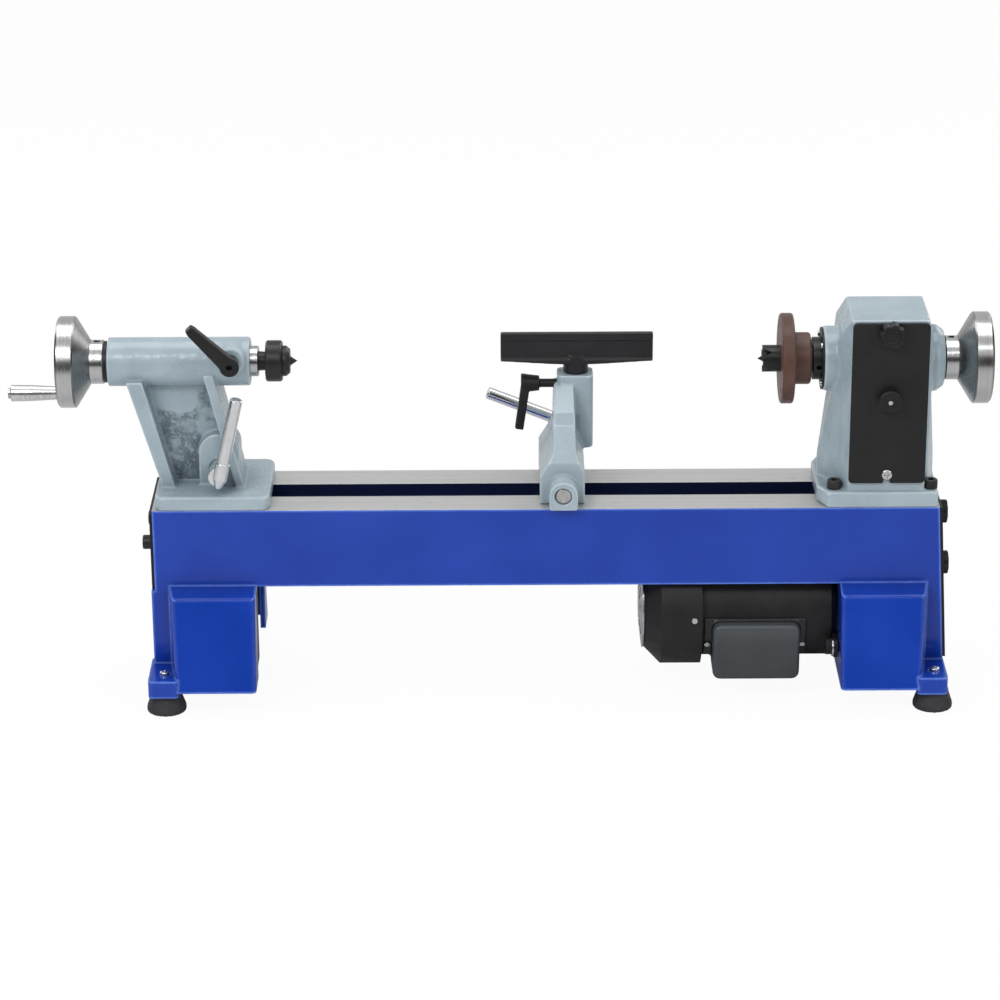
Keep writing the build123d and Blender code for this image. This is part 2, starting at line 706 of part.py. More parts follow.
def make_spur_centre():
    prong_start = SPUR_TIP + 4.6
    body = prong_start + 10.7
    end = SPUR_TIP + SPUR_LENGTH + 5.0
    ring = bar_x(prong_start, body + 1, SPUR_RADIUS) - bar_x(prong_start - 1, body, 6.2)
    for turn in (0, 90, 180, 270):
        tooth = along_y(
            [(prong_start - 1, -5.2), (body - 1.5, 0), (prong_start - 1, 5.2)], 2, SPUR_RADIUS + 2
        )
        ring -= Pos(0, 0, SPINDLE_Z) * Rot(turn + 45, 0, 0) * tooth
    outline = [
        (SPUR_TIP, 0),
        (SPUR_TIP + 5.2, 3.0),
        (body, 3.0),
        (body, SPUR_RADIUS),
        (end, SPUR_RADIUS),
        (end, TAPER_RADIUS),
        (NOSE_START, TAPER_RADIUS),
        (NOSE_START + TAPER_LENGTH - 1, TAPER_SMALL),
        (NOSE_START + TAPER_LENGTH - 1, 0),
    ]
    return ring + turned(outline)


def make_wheel(rim_face, direction):
    """A dished handwheel: rim_face is its outer face, direction points from there to its hub."""
    d = direction
    rim = rim_face + d * WHEEL_RIM
    cone = rim + d * WHEEL_CONE
    hub = cone + d * WHEEL_HUB
    outline = [
        (rim_face + d * 9.5, SHAFT_RADIUS),
        (rim_face + d * 9.5, 15.0),
        (rim_face + d * 14.0, 18.0),
        (rim_face + d * 14.0, 30.0),
        (rim_face + d * 1.5, 35.5),
        (rim_face, 37.0),
        (rim_face, WHEEL_RADIUS - 1.8),
        (rim_face + d * 1.8, WHEEL_RADIUS),
        (rim - d * 1.5, WHEEL_RADIUS),
        (rim, WHEEL_RADIUS - 1.6),
        (cone, WHEEL_NECK_RADIUS),
        (cone, WHEEL_HUB_RADIUS),
        (hub - d * 0.8, WHEEL_HUB_RADIUS),
        (hub, WHEEL_HUB_RADIUS - 0.8),
        (hub, SHAFT_RADIUS),
    ]
    wheel = turned(outline)
    screw = hub - d * WHEEL_HUB / 2
    return wheel - bar_z(SPINDLE_Z + SHAFT_RADIUS - 1, SPINDLE_Z + WHEEL_HUB_RADIUS + 1, 3.0, screw, 0)


OUTER_WHEEL_FACE = BOSS_RIGHT + CLAMP_GAP + 0.5 + WHEEL_HUB + WHEEL_CONE + WHEEL_RIM


def make_pulley(z, radii, bore):
    """A stepped pulley with a shallow rim beside each belt track."""
    outline = [(PULLEY_START, bore)]
    for i, radius in enumerate(radii):
        x = PULLEY_START + i * STEP_WIDTH
        outline += [(x, radius + 1), (x + 0.8, radius + 1), (x + 0.8, radius), (x + STEP_WIDTH, radius)]
    last = PULLEY_START + len(radii) * STEP_WIDTH
    outline += [(last, radii[-1] + 1), (last + 0.8, radii[-1] + 1), (last + 0.8, bore)]
    tidy = [p for i, p in enumerate(outline) if i == 0 or p != outline[i - 1]]
    return turned(tidy, 0, z)


MOTOR_STEPS = tuple(STEP_SUM - radius for radius in STEP_RADII)


def make_belt():
    """The flat ribbed belt as a loop about the chosen pair of steps."""
    top, bottom = STEP_RADII[BELT_STEP], MOTOR_STEPS[BELT_STEP]
    x0 = PULLEY_START + BELT_STEP * STEP_WIDTH + 1.4
    span = SPINDLE_Z - MOTOR_Z

    def loop(grow):
        high, low = top + grow, bottom + grow
        lean = asin((high - low) / span)
        corners = [
            (high * cos(lean), SPINDLE_Z + high * sin(lean)),
            (-high * cos(lean), SPINDLE_Z + high * sin(lean)),
            (-low * cos(lean), MOTOR_Z + low * sin(lean)),
            (low * cos(lean), MOTOR_Z + low * sin(lean)),
        ]
        straight = along_x(corners, x0, x0 + BELT_WIDTH)
        ends = bar_x(x0, x0 + BELT_WIDTH, high) + bar_x(x0, x0 + BELT_WIDTH, low, 0, MOTOR_Z)
        return straight + ends

    return loop(CLAMP_GAP + BELT_THICKNESS) - loop(CLAMP_GAP)


# ---------------------------------------------------------------- motor
def make_motor_housing():
    shell = bar_x(MOTOR_START, MOTOR_SEAM, MOTOR_RADIUS, 0, MOTOR_Z)
    shell -= bar_x(MOTOR_START + 4, MOTOR_SEAM + 1, MOTOR_RADIUS - MOTOR_WALL, 0, MOTOR_Z)
    shell -= bar_x(MOTOR_START - 1, MOTOR_START + 5, MOTOR_SHAFT + RUNNING, 0, MOTOR_Z)
    return shell


def make_end_bell():
    inner = MOTOR_RADIUS - MOTOR_WALL
    outline = [
        (MOTOR_SEAM, MOTOR_RADIUS),
        (MOTOR_END - 5, MOTOR_RADIUS),
        (MOTOR_END, MOTOR_RADIUS - 6),
        (MOTOR_END, MOTOR_SHAFT + RUNNING),
        (MOTOR_END - 5, MOTOR_SHAFT + RUNNING),
        (MOTOR_END - 5, inner - 4),
        (MOTOR_SEAM, inner),
    ]
    bell = turned(outline, 0, MOTOR_Z)
    low = MOTOR_Z - MOUNT_DROP
    ears = rounded(
        MOTOR_END - 3.5, MOTOR_END, -MOUNT_REACH - 8, MOUNT_REACH + 8, low - 9, low + 9, 6, Axis.X
    )
    bell = bell + (ears - bar_x(MOTOR_END - 6, MOTOR_END + 1, inner - 5, 0, MOTOR_Z))
    for y in (-MOUNT_REACH, MOUNT_REACH):
        bell -= bar_x(MOTOR_END - 6, MOTOR_END + 1, BOLT + HOLE_CLEARANCE, y, low)
    return bell


def make_motor_bolts():
    bolts = []
    low = MOTOR_Z - MOUNT_DROP
    for y in (-MOUNT_REACH, MOUNT_REACH):
        head = Pos(MOTOR_END - 10.6, y, low) * FACING_RIGHT * hexagon(13, 5.3)
        shank = bar_x(MOTOR_END - 6, RIGHT_ROOT + LEG_INNER_WALL + 9, BOLT, y, low)
        nut = Pos(RIGHT_ROOT + LEG_INNER_WALL + CLAMP_GAP, y, low) * FACING_RIGHT * hexagon(13, 6.5)
        bolts += [head + shank + nut]
    return grouped(bolts)


def make_motor_washers():
    washers = []
    low = MOTOR_Z - MOUNT_DROP
    for y in (-MOUNT_REACH, MOUNT_REACH):
        ring = bar_x(MOTOR_END - 5.1, MOTOR_END - 3.5, 8.5, y, low)
        washers.append(ring - bar_x(MOTOR_END - 6, MOTOR_END - 3, BOLT + HOLE_CLEARANCE, y, low))
    return grouped(washers)


def make_fan_shroud():
    wall = 1.6
    outline = [
        (SHROUD_START, SHROUD_NOSE),
        (SHROUD_START + SHROUD_CHAMFER, SHROUD_RADIUS),
        (MOTOR_START, SHROUD_RADIUS),
        (MOTOR_START, MOTOR_RADIUS - MOTOR_WALL),
        (MOTOR_START - wall, MOTOR_RADIUS - MOTOR_WALL),
        (MOTOR_START - wall, SHROUD_RADIUS - wall),
        (SHROUD_START + SHROUD_CHAMFER + 0.7, SHROUD_RADIUS - wall),
        (SHROUD_START, SHROUD_NOSE - wall),
    ]
    return turned(outline, 0, MOTOR_Z)


def make_fan_grille():
    """A shallow domed disc with rings of slots for the cooling air."""
    rise = 4.0
    edge = SHROUD_NOSE + 1.0
    outline = [
        (SHROUD_START - rise, 0),
        (SHROUD_START - rise, 20),
        (SHROUD_START - 1.5, edge),
        (SHROUD_START, edge),
        (SHROUD_START - rise + 1.5, 20),
        (SHROUD_START - rise + 1.5, 0),
    ]
    disc = turned(outline, 0, MOTOR_Z)
    for radius in (13.0, 21.0, 29.0):
        ring = bar_x(SHROUD_START - 6, SHROUD_START + 1, radius + 4, 0, MOTOR_Z)
        ring -= bar_x(SHROUD_START - 7, SHROUD_START + 2, radius, 0, MOTOR_Z)
        for turn in (0, 60, 120):
            spoke = Pos(SHROUD_START, 0, MOTOR_Z) * Rot(turn, 0, 0) * Box(20, 100, 3)
            ring -= spoke
        disc -= ring
    return disc


def make_capacitor_cover():
    box = rounded(
        CAPACITOR_LEFT, CAPACITOR_RIGHT, -CAPACITOR_FACE, -30, CAPACITOR_LOW, CAPACITOR_HIGH, 7, Axis.Y
    )
    box = fillet(box.edges().group_by(Axis.Y)[0], 4)
    flange = bar_x(MOTOR_START + 1.5, CAPACITOR_RIGHT + 7, MOTOR_RADIUS + 2.2, 0, MOTOR_Z)
    flange &= block(MOTOR_START, CAPACITOR_RIGHT + 10, -60, -29, CAPACITOR_LOW + 12, CAPACITOR_HIGH + 2)
    hollow = bar_x(MOTOR_START - 20, MOTOR_SEAM, MOTOR_RADIUS, 0, MOTOR_Z)
    return box + flange - hollow


def make_housing_screws():
    screws = []
    for x, radius, turn in (
        (SHROUD_START + 45.8, SHROUD_RADIUS, 84),
        (MOTOR_START + 5, MOTOR_RADIUS + 2.2, 115),
        (CAPACITOR_RIGHT + 3.2, MOTOR_RADIUS + 2.2, 115),
    ):
        screw = Pos(0, 0, radius + 0.9) * Cylinder(2.6, 1.8)
        screws.append(Pos(x, 0, MOTOR_Z) * Rot(turn, 0, 0) * screw)
    return grouped(screws)


def make_rotor_shaft():
    end = PULLEY_START + len(STEP_RADII) * STEP_WIDTH + 4
    shaft = bar_x(SHROUD_START + 14, end, MOTOR_SHAFT, 0, MOTOR_Z)
    return shaft + bar_x(MOTOR_START + 22, MOTOR_SEAM - 20, 30, 0, MOTOR_Z)


def make_motor_fan():
    start = SHROUD_START + 18
    fan = bar_x(start, start + 12, 13, 0, MOTOR_Z) + bar_x(start + 10, start + 12, 44, 0, MOTOR_Z)
    for i in range(8):
        blade = Pos(start + 6, 0, MOTOR_Z) * Rot(360 * i / 8, 0, 0) * Pos(0, 25.5, 0) * Box(12, 33, 2)
        fan += blade
    return fan - bar_x(start - 1, start + 13, MOTOR_SHAFT, 0, MOTOR_Z)


parts["headstock"] = make_headstock()
parts["headstock_bolts"] = make_head_bolts()
parts["bearings"] = grouped([make_bearing(FRONT_BEARING), make_bearing(REAR_BEARING)])
parts["bearing_cap"] = make_bearing_cap()
parts["bearing_cap_screws"] = make_cap_screws()
parts["rear_cover"] = make_rear_cover()
parts["cover_knob"] = make_cover_knob()
parts["cover_pull"] = make_cover_pull()
parts["cover_screws"] = grouped([make_pull_screw(), make_cover_screw()])
parts["spindle"] = make_spindle()
parts["faceplate"] = make_faceplate()
parts["spur_centre"] = make_spur_centre()
parts["spindle_handwheel"] = make_wheel(OUTER_WHEEL_FACE, -1)
parts["spindle_pulley"] = make_pulley(SPINDLE_Z, STEP_RADII, SHAFT_RADIUS)
parts["drive_belt"] = make_belt()
parts["motor_housing"] = make_motor_housing()
parts["motor_end_bell"] = make_end_bell()
parts["motor_bolts"] = make_motor_bolts()
parts["motor_washers"] = make_motor_washers()
parts["fan_shroud"] = make_fan_shroud()
parts["fan_grille"] = make_fan_grille()
parts["capacitor_cover"] = make_capacitor_cover()
parts["motor_screws"] = make_housing_screws()
parts["rotor_shaft"] = make_rotor_shaft()
parts["motor_fan"] = make_motor_fan()
parts["motor_pulley"] = make_pulley(MOTOR_Z, MOTOR_STEPS, MOTOR_SHAFT)


# ---------------------------------------------------------------- bed ends and switch
def make_end_plate():
    outside = BED_LEFT - PLATE
    plate = rounded(outside, BED_LEFT, -PLATE_HALF, PLATE_HALF, LEFT_PLATE_LOW, LEFT_PLATE_TOP, 4, Axis.X)
    for y in (-END_BOLT_Y, END_BOLT_Y):
        plate -= bar_x(BED_LEFT - PLATE - 1, BED_LEFT + 1, 3.2, y, BED_TOP - END_BOLT_DROP)
    return plate


def make_end_plate_bolts():
    bolts = []
    for y in (-END_BOLT_Y, END_BOLT_Y):
        head = bar_x(BED_LEFT - PLATE - 8.2, BED_LEFT - PLATE, 6.6, y, BED_TOP - END_BOLT_DROP)
        head = fillet(head.edges().group_by(Axis.X)[0], 1.2)
        bolts.append(head + bar_x(BED_LEFT - PLATE - 1, BED_LEFT + 10, 3, y, BED_TOP - END_BOLT_DROP))
    return grouped(bolts)


def make_end_cover():
    cover = along_y(
        [
            (end_x(RIGHT_COVER_LOW), RIGHT_COVER_LOW),
            (end_x(RIGHT_COVER_LOW) + PLATE, RIGHT_COVER_LOW),
            (end_x(RIGHT_COVER_TOP) + PLATE, RIGHT_COVER_TOP),
            (end_x(RIGHT_COVER_TOP), RIGHT_COVER_TOP),
        ],
        -PLATE_HALF,
        PLATE_HALF,
    )
    for drop in KNOB_DROPS:
        cover -= bar_x(BED_RIGHT - 5, BED_RIGHT + 20, 3.3, 0, BED_TOP - drop)
    return cover


def make_end_knob(drop):
    x = end_x(BED_TOP - drop - KNOB_RADIUS) + PLATE + CLAMP_GAP
    knob = make_fluted_knob(KNOB_RADIUS, KNOB_HEIGHT, 3, 12)
    return Pos(x, 0, BED_TOP - drop) * FACING_RIGHT * knob


def make_switch_box():
    box = rounded(
        SWITCH_LEFT,
        SWITCH_LEFT + SWITCH_WIDTH,
        LEG_SHOULDER / 2 - 4,
        SWITCH_FACE,
        SWITCH_LOW,
        SWITCH_LOW + SWITCH_HEIGHT,
        5,
        Axis.Y,
    )
    box = fillet(box.edges().group_by(Axis.Y)[-1], 2)
    box -= leg_box(LEFT_ROOT, -1, -CLAMP_GAP, LEG_BOTTOM)
    for x, radius, length in switch_buttons():
        box -= bar_y(SWITCH_FACE - length - 1, SWITCH_FACE + 1, radius + 0.4, x, SWITCH_MIDDLE)
    return box


SWITCH_MIDDLE = SWITCH_LOW + SWITCH_HEIGHT / 2


def switch_buttons():
    """Each button's place along X, radius and depth in its well."""
    return (
        (SWITCH_LEFT + 14.5, 7.0, 9.0),
        (SWITCH_LEFT + 36.5, 9.5, 9.0),
    )


def make_button(x, radius, proud):
    button = bar_y(SWITCH_FACE - 5, SWITCH_FACE + proud, radius, x, SWITCH_MIDDLE)
    return fillet(button.edges().group_by(Axis.Y)[-1], 1.5)


def make_wiring_box():
    """The closed box inside the tailstock leg that holds the relay and takes the mains lead."""
    top = BED_TOP - BED_DEPTH - 8
    return rounded(LEFT_ROOT - 27, LEFT_ROOT - 1.6, -56, -12, LEG_BOTTOM + 2, top, 3, Axis.Z)


# ---------------------------------------------------------------- tailstock
BORE_END = BARREL_LEFT + 8.0
TAIL_WHEEL_FACE = BARREL_LEFT - 3.5 - WHEEL_HUB - WHEEL_CONE - WHEEL_RIM
TAIL_BASE_TOP = BED_TOP + TAIL_BASE_HEIGHT
LOCK_Z = BED_TOP + LOCK_HEIGHT
CLAMP_TOP = BED_TOP - WAY_THICKNESS - CLAMP_GAP
CLAMP_PLATE = 8.0
NUT = 8.0
EYE_RADIUS = 14.0
EYE_WIDTH = 11.0
STUD_RADIUS = 5.0
KIP_STUD = 4.0


def make_tailstock():
    barrel = bar_x(BARREL_LEFT, BARREL_RIGHT, BARREL_RADIUS)
    barrel = fillet(barrel.edges().filter_by(GeomType.CIRCLE), 1.2)
    base = block(TAIL_BASE_LEFT, TAIL_BASE_RIGHT, -HALF, HALF, BED_TOP, TAIL_BASE_TOP)
    base = fillet(base.edges().filter_by(Axis.Z), 9)
    base = fillet(base.edges().group_by(Axis.Z)[-1], 2.5)
    left = along_y(
        [
            (BARREL_LEFT + 17.3, SPINDLE_Z - 12),
            (BARREL_LEFT + 32, SPINDLE_Z - 12),
            (TAIL_BASE_LEFT + 16.5, TAIL_BASE_TOP + 4),
            (TAIL_BASE_LEFT + 19, TAIL_BASE_TOP - 3),
            (TAIL_BASE_LEFT + 7, TAIL_BASE_TOP - 3),
        ],
        -TAIL_HALF_DEPTH,
        TAIL_HALF_DEPTH,
    )
    right = along_y(
        [
            (BARREL_RIGHT - 42, SPINDLE_Z - 6),
            (BARREL_RIGHT - 33, SPINDLE_Z - 6),
            (BARREL_RIGHT - 7, TAIL_BASE_TOP - 3),
            (BARREL_RIGHT - 15, TAIL_BASE_TOP - 3),
        ],
        -TAIL_HALF_DEPTH,
        TAIL_HALF_DEPTH,
    )
    web = along_y(
        [
            (BARREL_LEFT + 20, SPINDLE_Z - 15),
            (BARREL_RIGHT - 35, SPINDLE_Z - 10),
            (BARREL_RIGHT - 10, TAIL_BASE_TOP - 3),
            (TAIL_BASE_LEFT + 10, TAIL_BASE_TOP - 3),
        ],
        -WEB / 2,
        WEB / 2,
    )
    pad_z = LOCK_Z + 14
    pad = bar_y(-LOCK_FACE, LOCK_FACE, LOCK_PAD, LOCK_X, pad_z)
    pad += block(LOCK_X - LOCK_PAD, LOCK_X + LOCK_PAD, -LOCK_FACE, LOCK_FACE, TAIL_BASE_TOP - 2, pad_z)
    boss = bar_y(QUILL_LOCK_END, 0, 13, QUILL_LOCK_X, SPINDLE_Z + QUILL_LOCK_RISE)
    boss = fillet(boss.edges().group_by(Axis.Y)[0], 3)
    shape = barrel + base + left + right + web + pad + boss
    tongue = WAY_GAP / 2 - CLAMP_GAP
    shape += block(LOCK_X - 30, LOCK_X + 30, -tongue, tongue, BED_TOP - 6, BED_TOP + 1)
    shape -= bar_x(BORE_END, BARREL_RIGHT + 1, QUILL_RADIUS + RUNNING)
    shape -= bar_x(BARREL_LEFT - 1, BORE_END + 1, 8 + RUNNING)
    shape -= bar_y(-LOCK_FACE - 1, LOCK_FACE + 1, LOCK_RADIUS + RUNNING, LOCK_X, LOCK_Z)
    well = EYE_RADIUS + 1.5
    half = EYE_WIDTH / 2 + 1
    shape -= block(LOCK_X - well, LOCK_X + well, -half, half, BED_TOP - 7, LOCK_Z + well)
    lock_z = SPINDLE_Z + QUILL_LOCK_RISE
    shape -= bar_y(QUILL_LOCK_END - 1, -6, KIP_STUD + 0.1, QUILL_LOCK_X, lock_z)
    return shape


def make_tail_lead_screw():
    outline = [
        (TAIL_WHEEL_FACE + 10, 0),
        (TAIL_WHEEL_FACE + 10, SHAFT_RADIUS),
        (BARREL_LEFT - 4, SHAFT_RADIUS),
        (BARREL_LEFT - 4, 8),
        (BORE_END + 0.1, 8),
        (BORE_END + 0.1, SCREW_RADIUS),
        (QUILL_FRONT - 45, SCREW_RADIUS),
        (QUILL_FRONT - 45, 0),
    ]
    return turned(outline)


def make_tail_ring():
    return bar_x(BARREL_LEFT - 3.4, BARREL_LEFT - CLAMP_GAP, 19) - bar_x(BARREL_LEFT - 4, BARREL_LEFT, 8.0)


def make_quill():
    rear = QUILL_FRONT - QUILL_LENGTH
    quill = bar_x(rear, QUILL_FRONT, QUILL_RADIUS)
    quill = chamfer(quill.edges().filter_by(GeomType.CIRCLE), 0.8)
    quill -= bar_x(rear - 1, QUILL_FRONT - 30, SCREW_RADIUS + RUNNING)
    taper = [
        (QUILL_FRONT - 28, 0),
        (QUILL_FRONT - 28, TAPER_SMALL + 2 * RUNNING),
        (QUILL_FRONT + 1, TAPER_RADIUS + 2 * RUNNING),
        (QUILL_FRONT + 1, 0),
    ]
    return quill - turned(taper)


def make_crank_stud():
    z = SPINDLE_Z - CRANK_DROP
    head = bar_x(CRANK_END, CRANK_END + 2, 5, 0, z)
    return head + bar_x(CRANK_END + 1, TAIL_WHEEL_FACE + 14, 3, 0, z)


def make_crank_grip():
    z = SPINDLE_Z - CRANK_DROP
    start = CRANK_END + 2 + CLAMP_GAP
    end = TAIL_WHEEL_FACE - CLAMP_GAP
    bore = 3 + RUNNING
    outline = [
        (start, bore),
        (start, 6.8),
        (start + 0.8, 7.6),
        (start + 20, 7.3),
        (end - 4, 6.1),
        (end, 6.1),
        (end, bore),
    ]
    return turned(outline, 0, z)


def make_live_body():
    start = QUILL_FRONT + LIVE_NECK
    end = start + LIVE_BODY
    outline = [
        (QUILL_FRONT - 27, 0),
        (QUILL_FRONT - 27, TAPER_SMALL),
        (QUILL_FRONT, TAPER_RADIUS),
        (start, TAPER_RADIUS - 0.4),
        (start, LIVE_RADIUS - 1.4),
        (start + 1.4, LIVE_RADIUS),
        (end - 1.4, LIVE_RADIUS),
        (end, LIVE_RADIUS - 1.4),
        (end, 10 + RUNNING),
        (end - 9, 10 + RUNNING),
        (end - 9, 0),
    ]
    return turned(outline)


def make_live_point():
    end = QUILL_FRONT + LIVE_NECK + LIVE_BODY
    nose = end + LIVE_NOSE
    outline = [
        (end - 8.7, 0),
        (end - 8.7, 10),
        (end + CLAMP_GAP, 10),
        (end + CLAMP_GAP, LIVE_NOSE_RADIUS),
        (end + 3.5, LIVE_NOSE_RADIUS),
        (nose, LIVE_NOSE_RADIUS - 3),
        (nose, 4.6),
        (nose + LIVE_TIP, 0),
    ]
    return turned(outline)


def make_kip_lever(length):
    """An adjustable clamping lever: its hub stands up from the origin and its arm leans up along X."""
    hub = cone_between((0, 0, 0), (0, 0, 9), 7.0, 8.0) + cone_between((0, 0, 9), (0, 0, 17), 8.0, 9.2)
    hub = fillet(hub.edges().group_by(Axis.Z)[-1], 1.2)
    outline = [
        (0, -7.6),
        (length - 4, -4.6),
        (length, -3.4),
        (length, 3.4),
        (length - 4, 4.6),
        (0, 7.6),
    ]
    arm = along_z(outline, 0, 8)
    arm = fillet(arm.edges().filter_by(GeomType.LINE).group_by(Axis.Z)[-1], 1.6)
    arm = Pos(0, 0, 8.5) * Rot(0, -8, 0) * arm
    lever = hub + arm
    return lever - Pos(0, 0, 12) * hexagon(5, 6)


def aimed(shape, place, out, arm):
    """A lever moved so that its hub points along out and its arm along arm."""
    return Plane(origin=place, x_dir=arm, z_dir=out) * shape


QUILL_LEVER_Y = QUILL_LOCK_END - CLAMP_GAP
QUILL_LEVER_ARM = (-36.0, 0, 39.5)
QUILL_LEVER_LENGTH = 53.5


def make_quill_lever():
    place = (QUILL_LOCK_X, QUILL_LEVER_Y, SPINDLE_Z + QUILL_LOCK_RISE)
    return aimed(make_kip_lever(QUILL_LEVER_LENGTH), place, (0, -1, 0), QUILL_LEVER_ARM)


def make_quill_lock_stud():
    return bar_y(QUILL_LEVER_Y, QUILL_LOCK_TIP, KIP_STUD, QUILL_LOCK_X, SPINDLE_Z + QUILL_LOCK_RISE)


LOCK_LEVER_Y = -46.0
LOCK_LEVER_LOW = (1.0, -6.3)  # x and z of its lower end from the clamp shaft's axis
LOCK_LEVER_HIGH = (20.0, 76.9)
LOCK_LEVER_JOINT = 0.257  # share of its length below the joint


def lever_point(share):
    x = LOCK_LEVER_LOW[0] + share * (LOCK_LEVER_HIGH[0] - LOCK_LEVER_LOW[0])
    z = LOCK_LEVER_LOW[1] + share * (LOCK_LEVER_HIGH[1] - LOCK_LEVER_LOW[1])
    return (LOCK_X + x, LOCK_LEVER_Y, LOCK_Z + z)


def make_tail_clamp_shaft():
    shaft = bar_y(LOCK_LEVER_Y + 3, LOCK_FACE + 3, LOCK_RADIUS, LOCK_X, LOCK_Z)
    nose = cone_between(lever_point(-0.03), lever_point(0.07), 3.2, 6.6)
    return shaft + nose + rod_between(lever_point(0.07), lever_point(LOCK_LEVER_JOINT), 6.6)


def make_tail_clamp_lever():
    rod = rod_between(lever_point(LOCK_LEVER_JOINT), lever_point(1), LEVER_RADIUS)
    return chamfer(rod.edges().filter_by(GeomType.CIRCLE).sort_by(Axis.Z)[-1], 1.2)


def make_eye_bolt(x, z, bore):
    """The stud whose eye goes round a clamp shaft and whose thread goes down between the ways."""
    eye = bar_y(-EYE_WIDTH / 2, EYE_WIDTH / 2, bore + RUNNING + 4, x, z)
    stud = bar_z(CLAMP_TOP - CLAMP_PLATE - NUT - 5, z, STUD_RADIUS, x, 0)
    return eye + stud - bar_y(-EYE_WIDTH, EYE_WIDTH, bore + RUNNING, x, z)


def make_clamp_plate(x, length):
    wide = HALF - 16
    plate = rounded(x - length / 2, x + length / 2, -wide, wide, CLAMP_TOP - CLAMP_PLATE, CLAMP_TOP, 4)
    tongue = WAY_GAP / 2 - CLAMP_GAP
    plate += block(x - length / 2 + 6, x + length / 2 - 6, -tongue, tongue, CLAMP_TOP - 2, CLAMP_TOP + 5)
    return plate - bar_z(CLAMP_TOP - CLAMP_PLATE - 1, CLAMP_TOP + 6, STUD_RADIUS + RUNNING, x, 0)


def make_clamp_nut(x):
    nut = Pos(x, 0, CLAMP_TOP - CLAMP_PLATE - NUT) * hexagon(17, NUT)
    return nut - bar_z(CLAMP_TOP - 30, CLAMP_TOP, STUD_RADIUS, x, 0)


# ---------------------------------------------------------------- tool rest
ROD_Z = BED_TOP + ROD_HEIGHT
BANJO_LOW = BED_TOP + 0.2
BANJO_RIGHT = BANJO_LEFT + BANJO_WIDTH
BOSS_HIGH = BED_TOP + BOSS_TOP
BANJO_LEVER_Y = 141.0
BANJO_LEVER_END = (-69.3, 28.0)


def make_banjo():
    profile = [
        (BANJO_BACK, BANJO_LOW),
        (BANJO_BACK, BED_TOP + BANJO_HEIGHT - 2),
        (-12, BED_TOP + 67),
        (8, BED_TOP + 72),
        (34, BED_TOP + 90),
        (BANJO_FRONT, BED_TOP + 86),
        (BANJO_FRONT, BED_TOP + 26),
        (BANJO_FRONT + 6, BANJO_LOW),
    ]
    section = [
        (BANJO_LEFT, BANJO_LOW),
        (BANJO_LEFT, BED_TOP + 27),
        (BANJO_LEFT + 12.5, BED_TOP + 47),
        (BANJO_LEFT + 14, BED_TOP + 96),
        (BANJO_RIGHT - 9, BED_TOP + 96),
        (BANJO_RIGHT - 8, BED_TOP + 47),
        (BANJO_RIGHT, BED_TOP + 30),
        (BANJO_RIGHT, BANJO_LOW),
    ]
    body = along_x(profile, BANJO_LEFT, BANJO_RIGHT) & along_y(section, BANJO_NOSE, BANJO_SLEEVE)
    nose = rounded(ROD_X - 13, ROD_X + 13, BANJO_NOSE, BANJO_BACK + 1, BANJO_LOW + 2, ROD_Z, 2, Axis.Y)
    nose += bar_y(BANJO_NOSE, BANJO_BACK + 1, 13, ROD_X, ROD_Z)
    boss = rounded(
        POST_X - 17.4, POST_X + 16, POST_Y - 15, POST_Y + 12, BED_TOP + 60, BOSS_HIGH, 6
    )
    tail = rounded(POST_X - 2, POST_X + 16, POST_Y - 15, POST_Y + 12, BED_TOP + 27, BOSS_HIGH - 2, 6)
    sleeve = bar_y(BANJO_FRONT - 6, BANJO_SLEEVE, 12, ROD_X, ROD_Z)
    shape = body + nose + boss + tail + sleeve
    half = CHANNEL_WIDTH / 2
    shape -= block(ROD_X - half, ROD_X + half, CHANNEL_BACK, CHANNEL_FRONT, BANJO_LOW - 1, ROD_Z + half + 1)
    shape -= bar_y(BANJO_NOSE - 1, BANJO_SLEEVE + 1, ROD_RADIUS + RUNNING, ROD_X, ROD_Z)
    shape -= bar_y(BANJO_NOSE - 1, BANJO_NOSE + 3.5, ROD_RADIUS + 1.2, ROD_X - 0.4, ROD_Z - 0.4)
    shape -= bar_z(BED_TOP + 29, BOSS_HIGH + 1, POST_RADIUS + RUNNING, POST_X, POST_Y)
    shape -= bar_x(POST_X - 30, POST_X - POST_RADIUS + 1, KIP_STUD + 0.1, POST_Y, REST_LEVER_Z)
    return shape


REST_LEVER_Z = BED_TOP + 86.3
REST_LEVER_X = 37.0


def make_banjo_rod():
    rod = bar_y(BANJO_NOSE + 1, BANJO_SLEEVE + 4, ROD_RADIUS, ROD_X, ROD_Z)
    collar = bar_y(BANJO_SLEEVE + CLAMP_GAP, BANJO_LEVER_Y + 9, 10, ROD_X, ROD_Z)
    return rod + chamfer(collar.edges().filter_by(GeomType.CIRCLE), 1)


def make_banjo_lever():
    end = (ROD_X + BANJO_LEVER_END[0], BANJO_LEVER_Y, ROD_Z + BANJO_LEVER_END[1])
    lever = rod_between((ROD_X, BANJO_LEVER_Y, ROD_Z), end, LEVER_RADIUS)
    lever = chamfer(lever.edges().filter_by(GeomType.CIRCLE).sort_by(Axis.X)[0], 1)
    return lever - bar_y(BANJO_LEVER_Y - 12, BANJO_LEVER_Y + 12, 10, ROD_X, ROD_Z)


def make_rest_post():
    top = BOSS_HIGH + 9
    return bar_z(top - POST_LENGTH - 9, top, POST_RADIUS, POST_X, POST_Y)


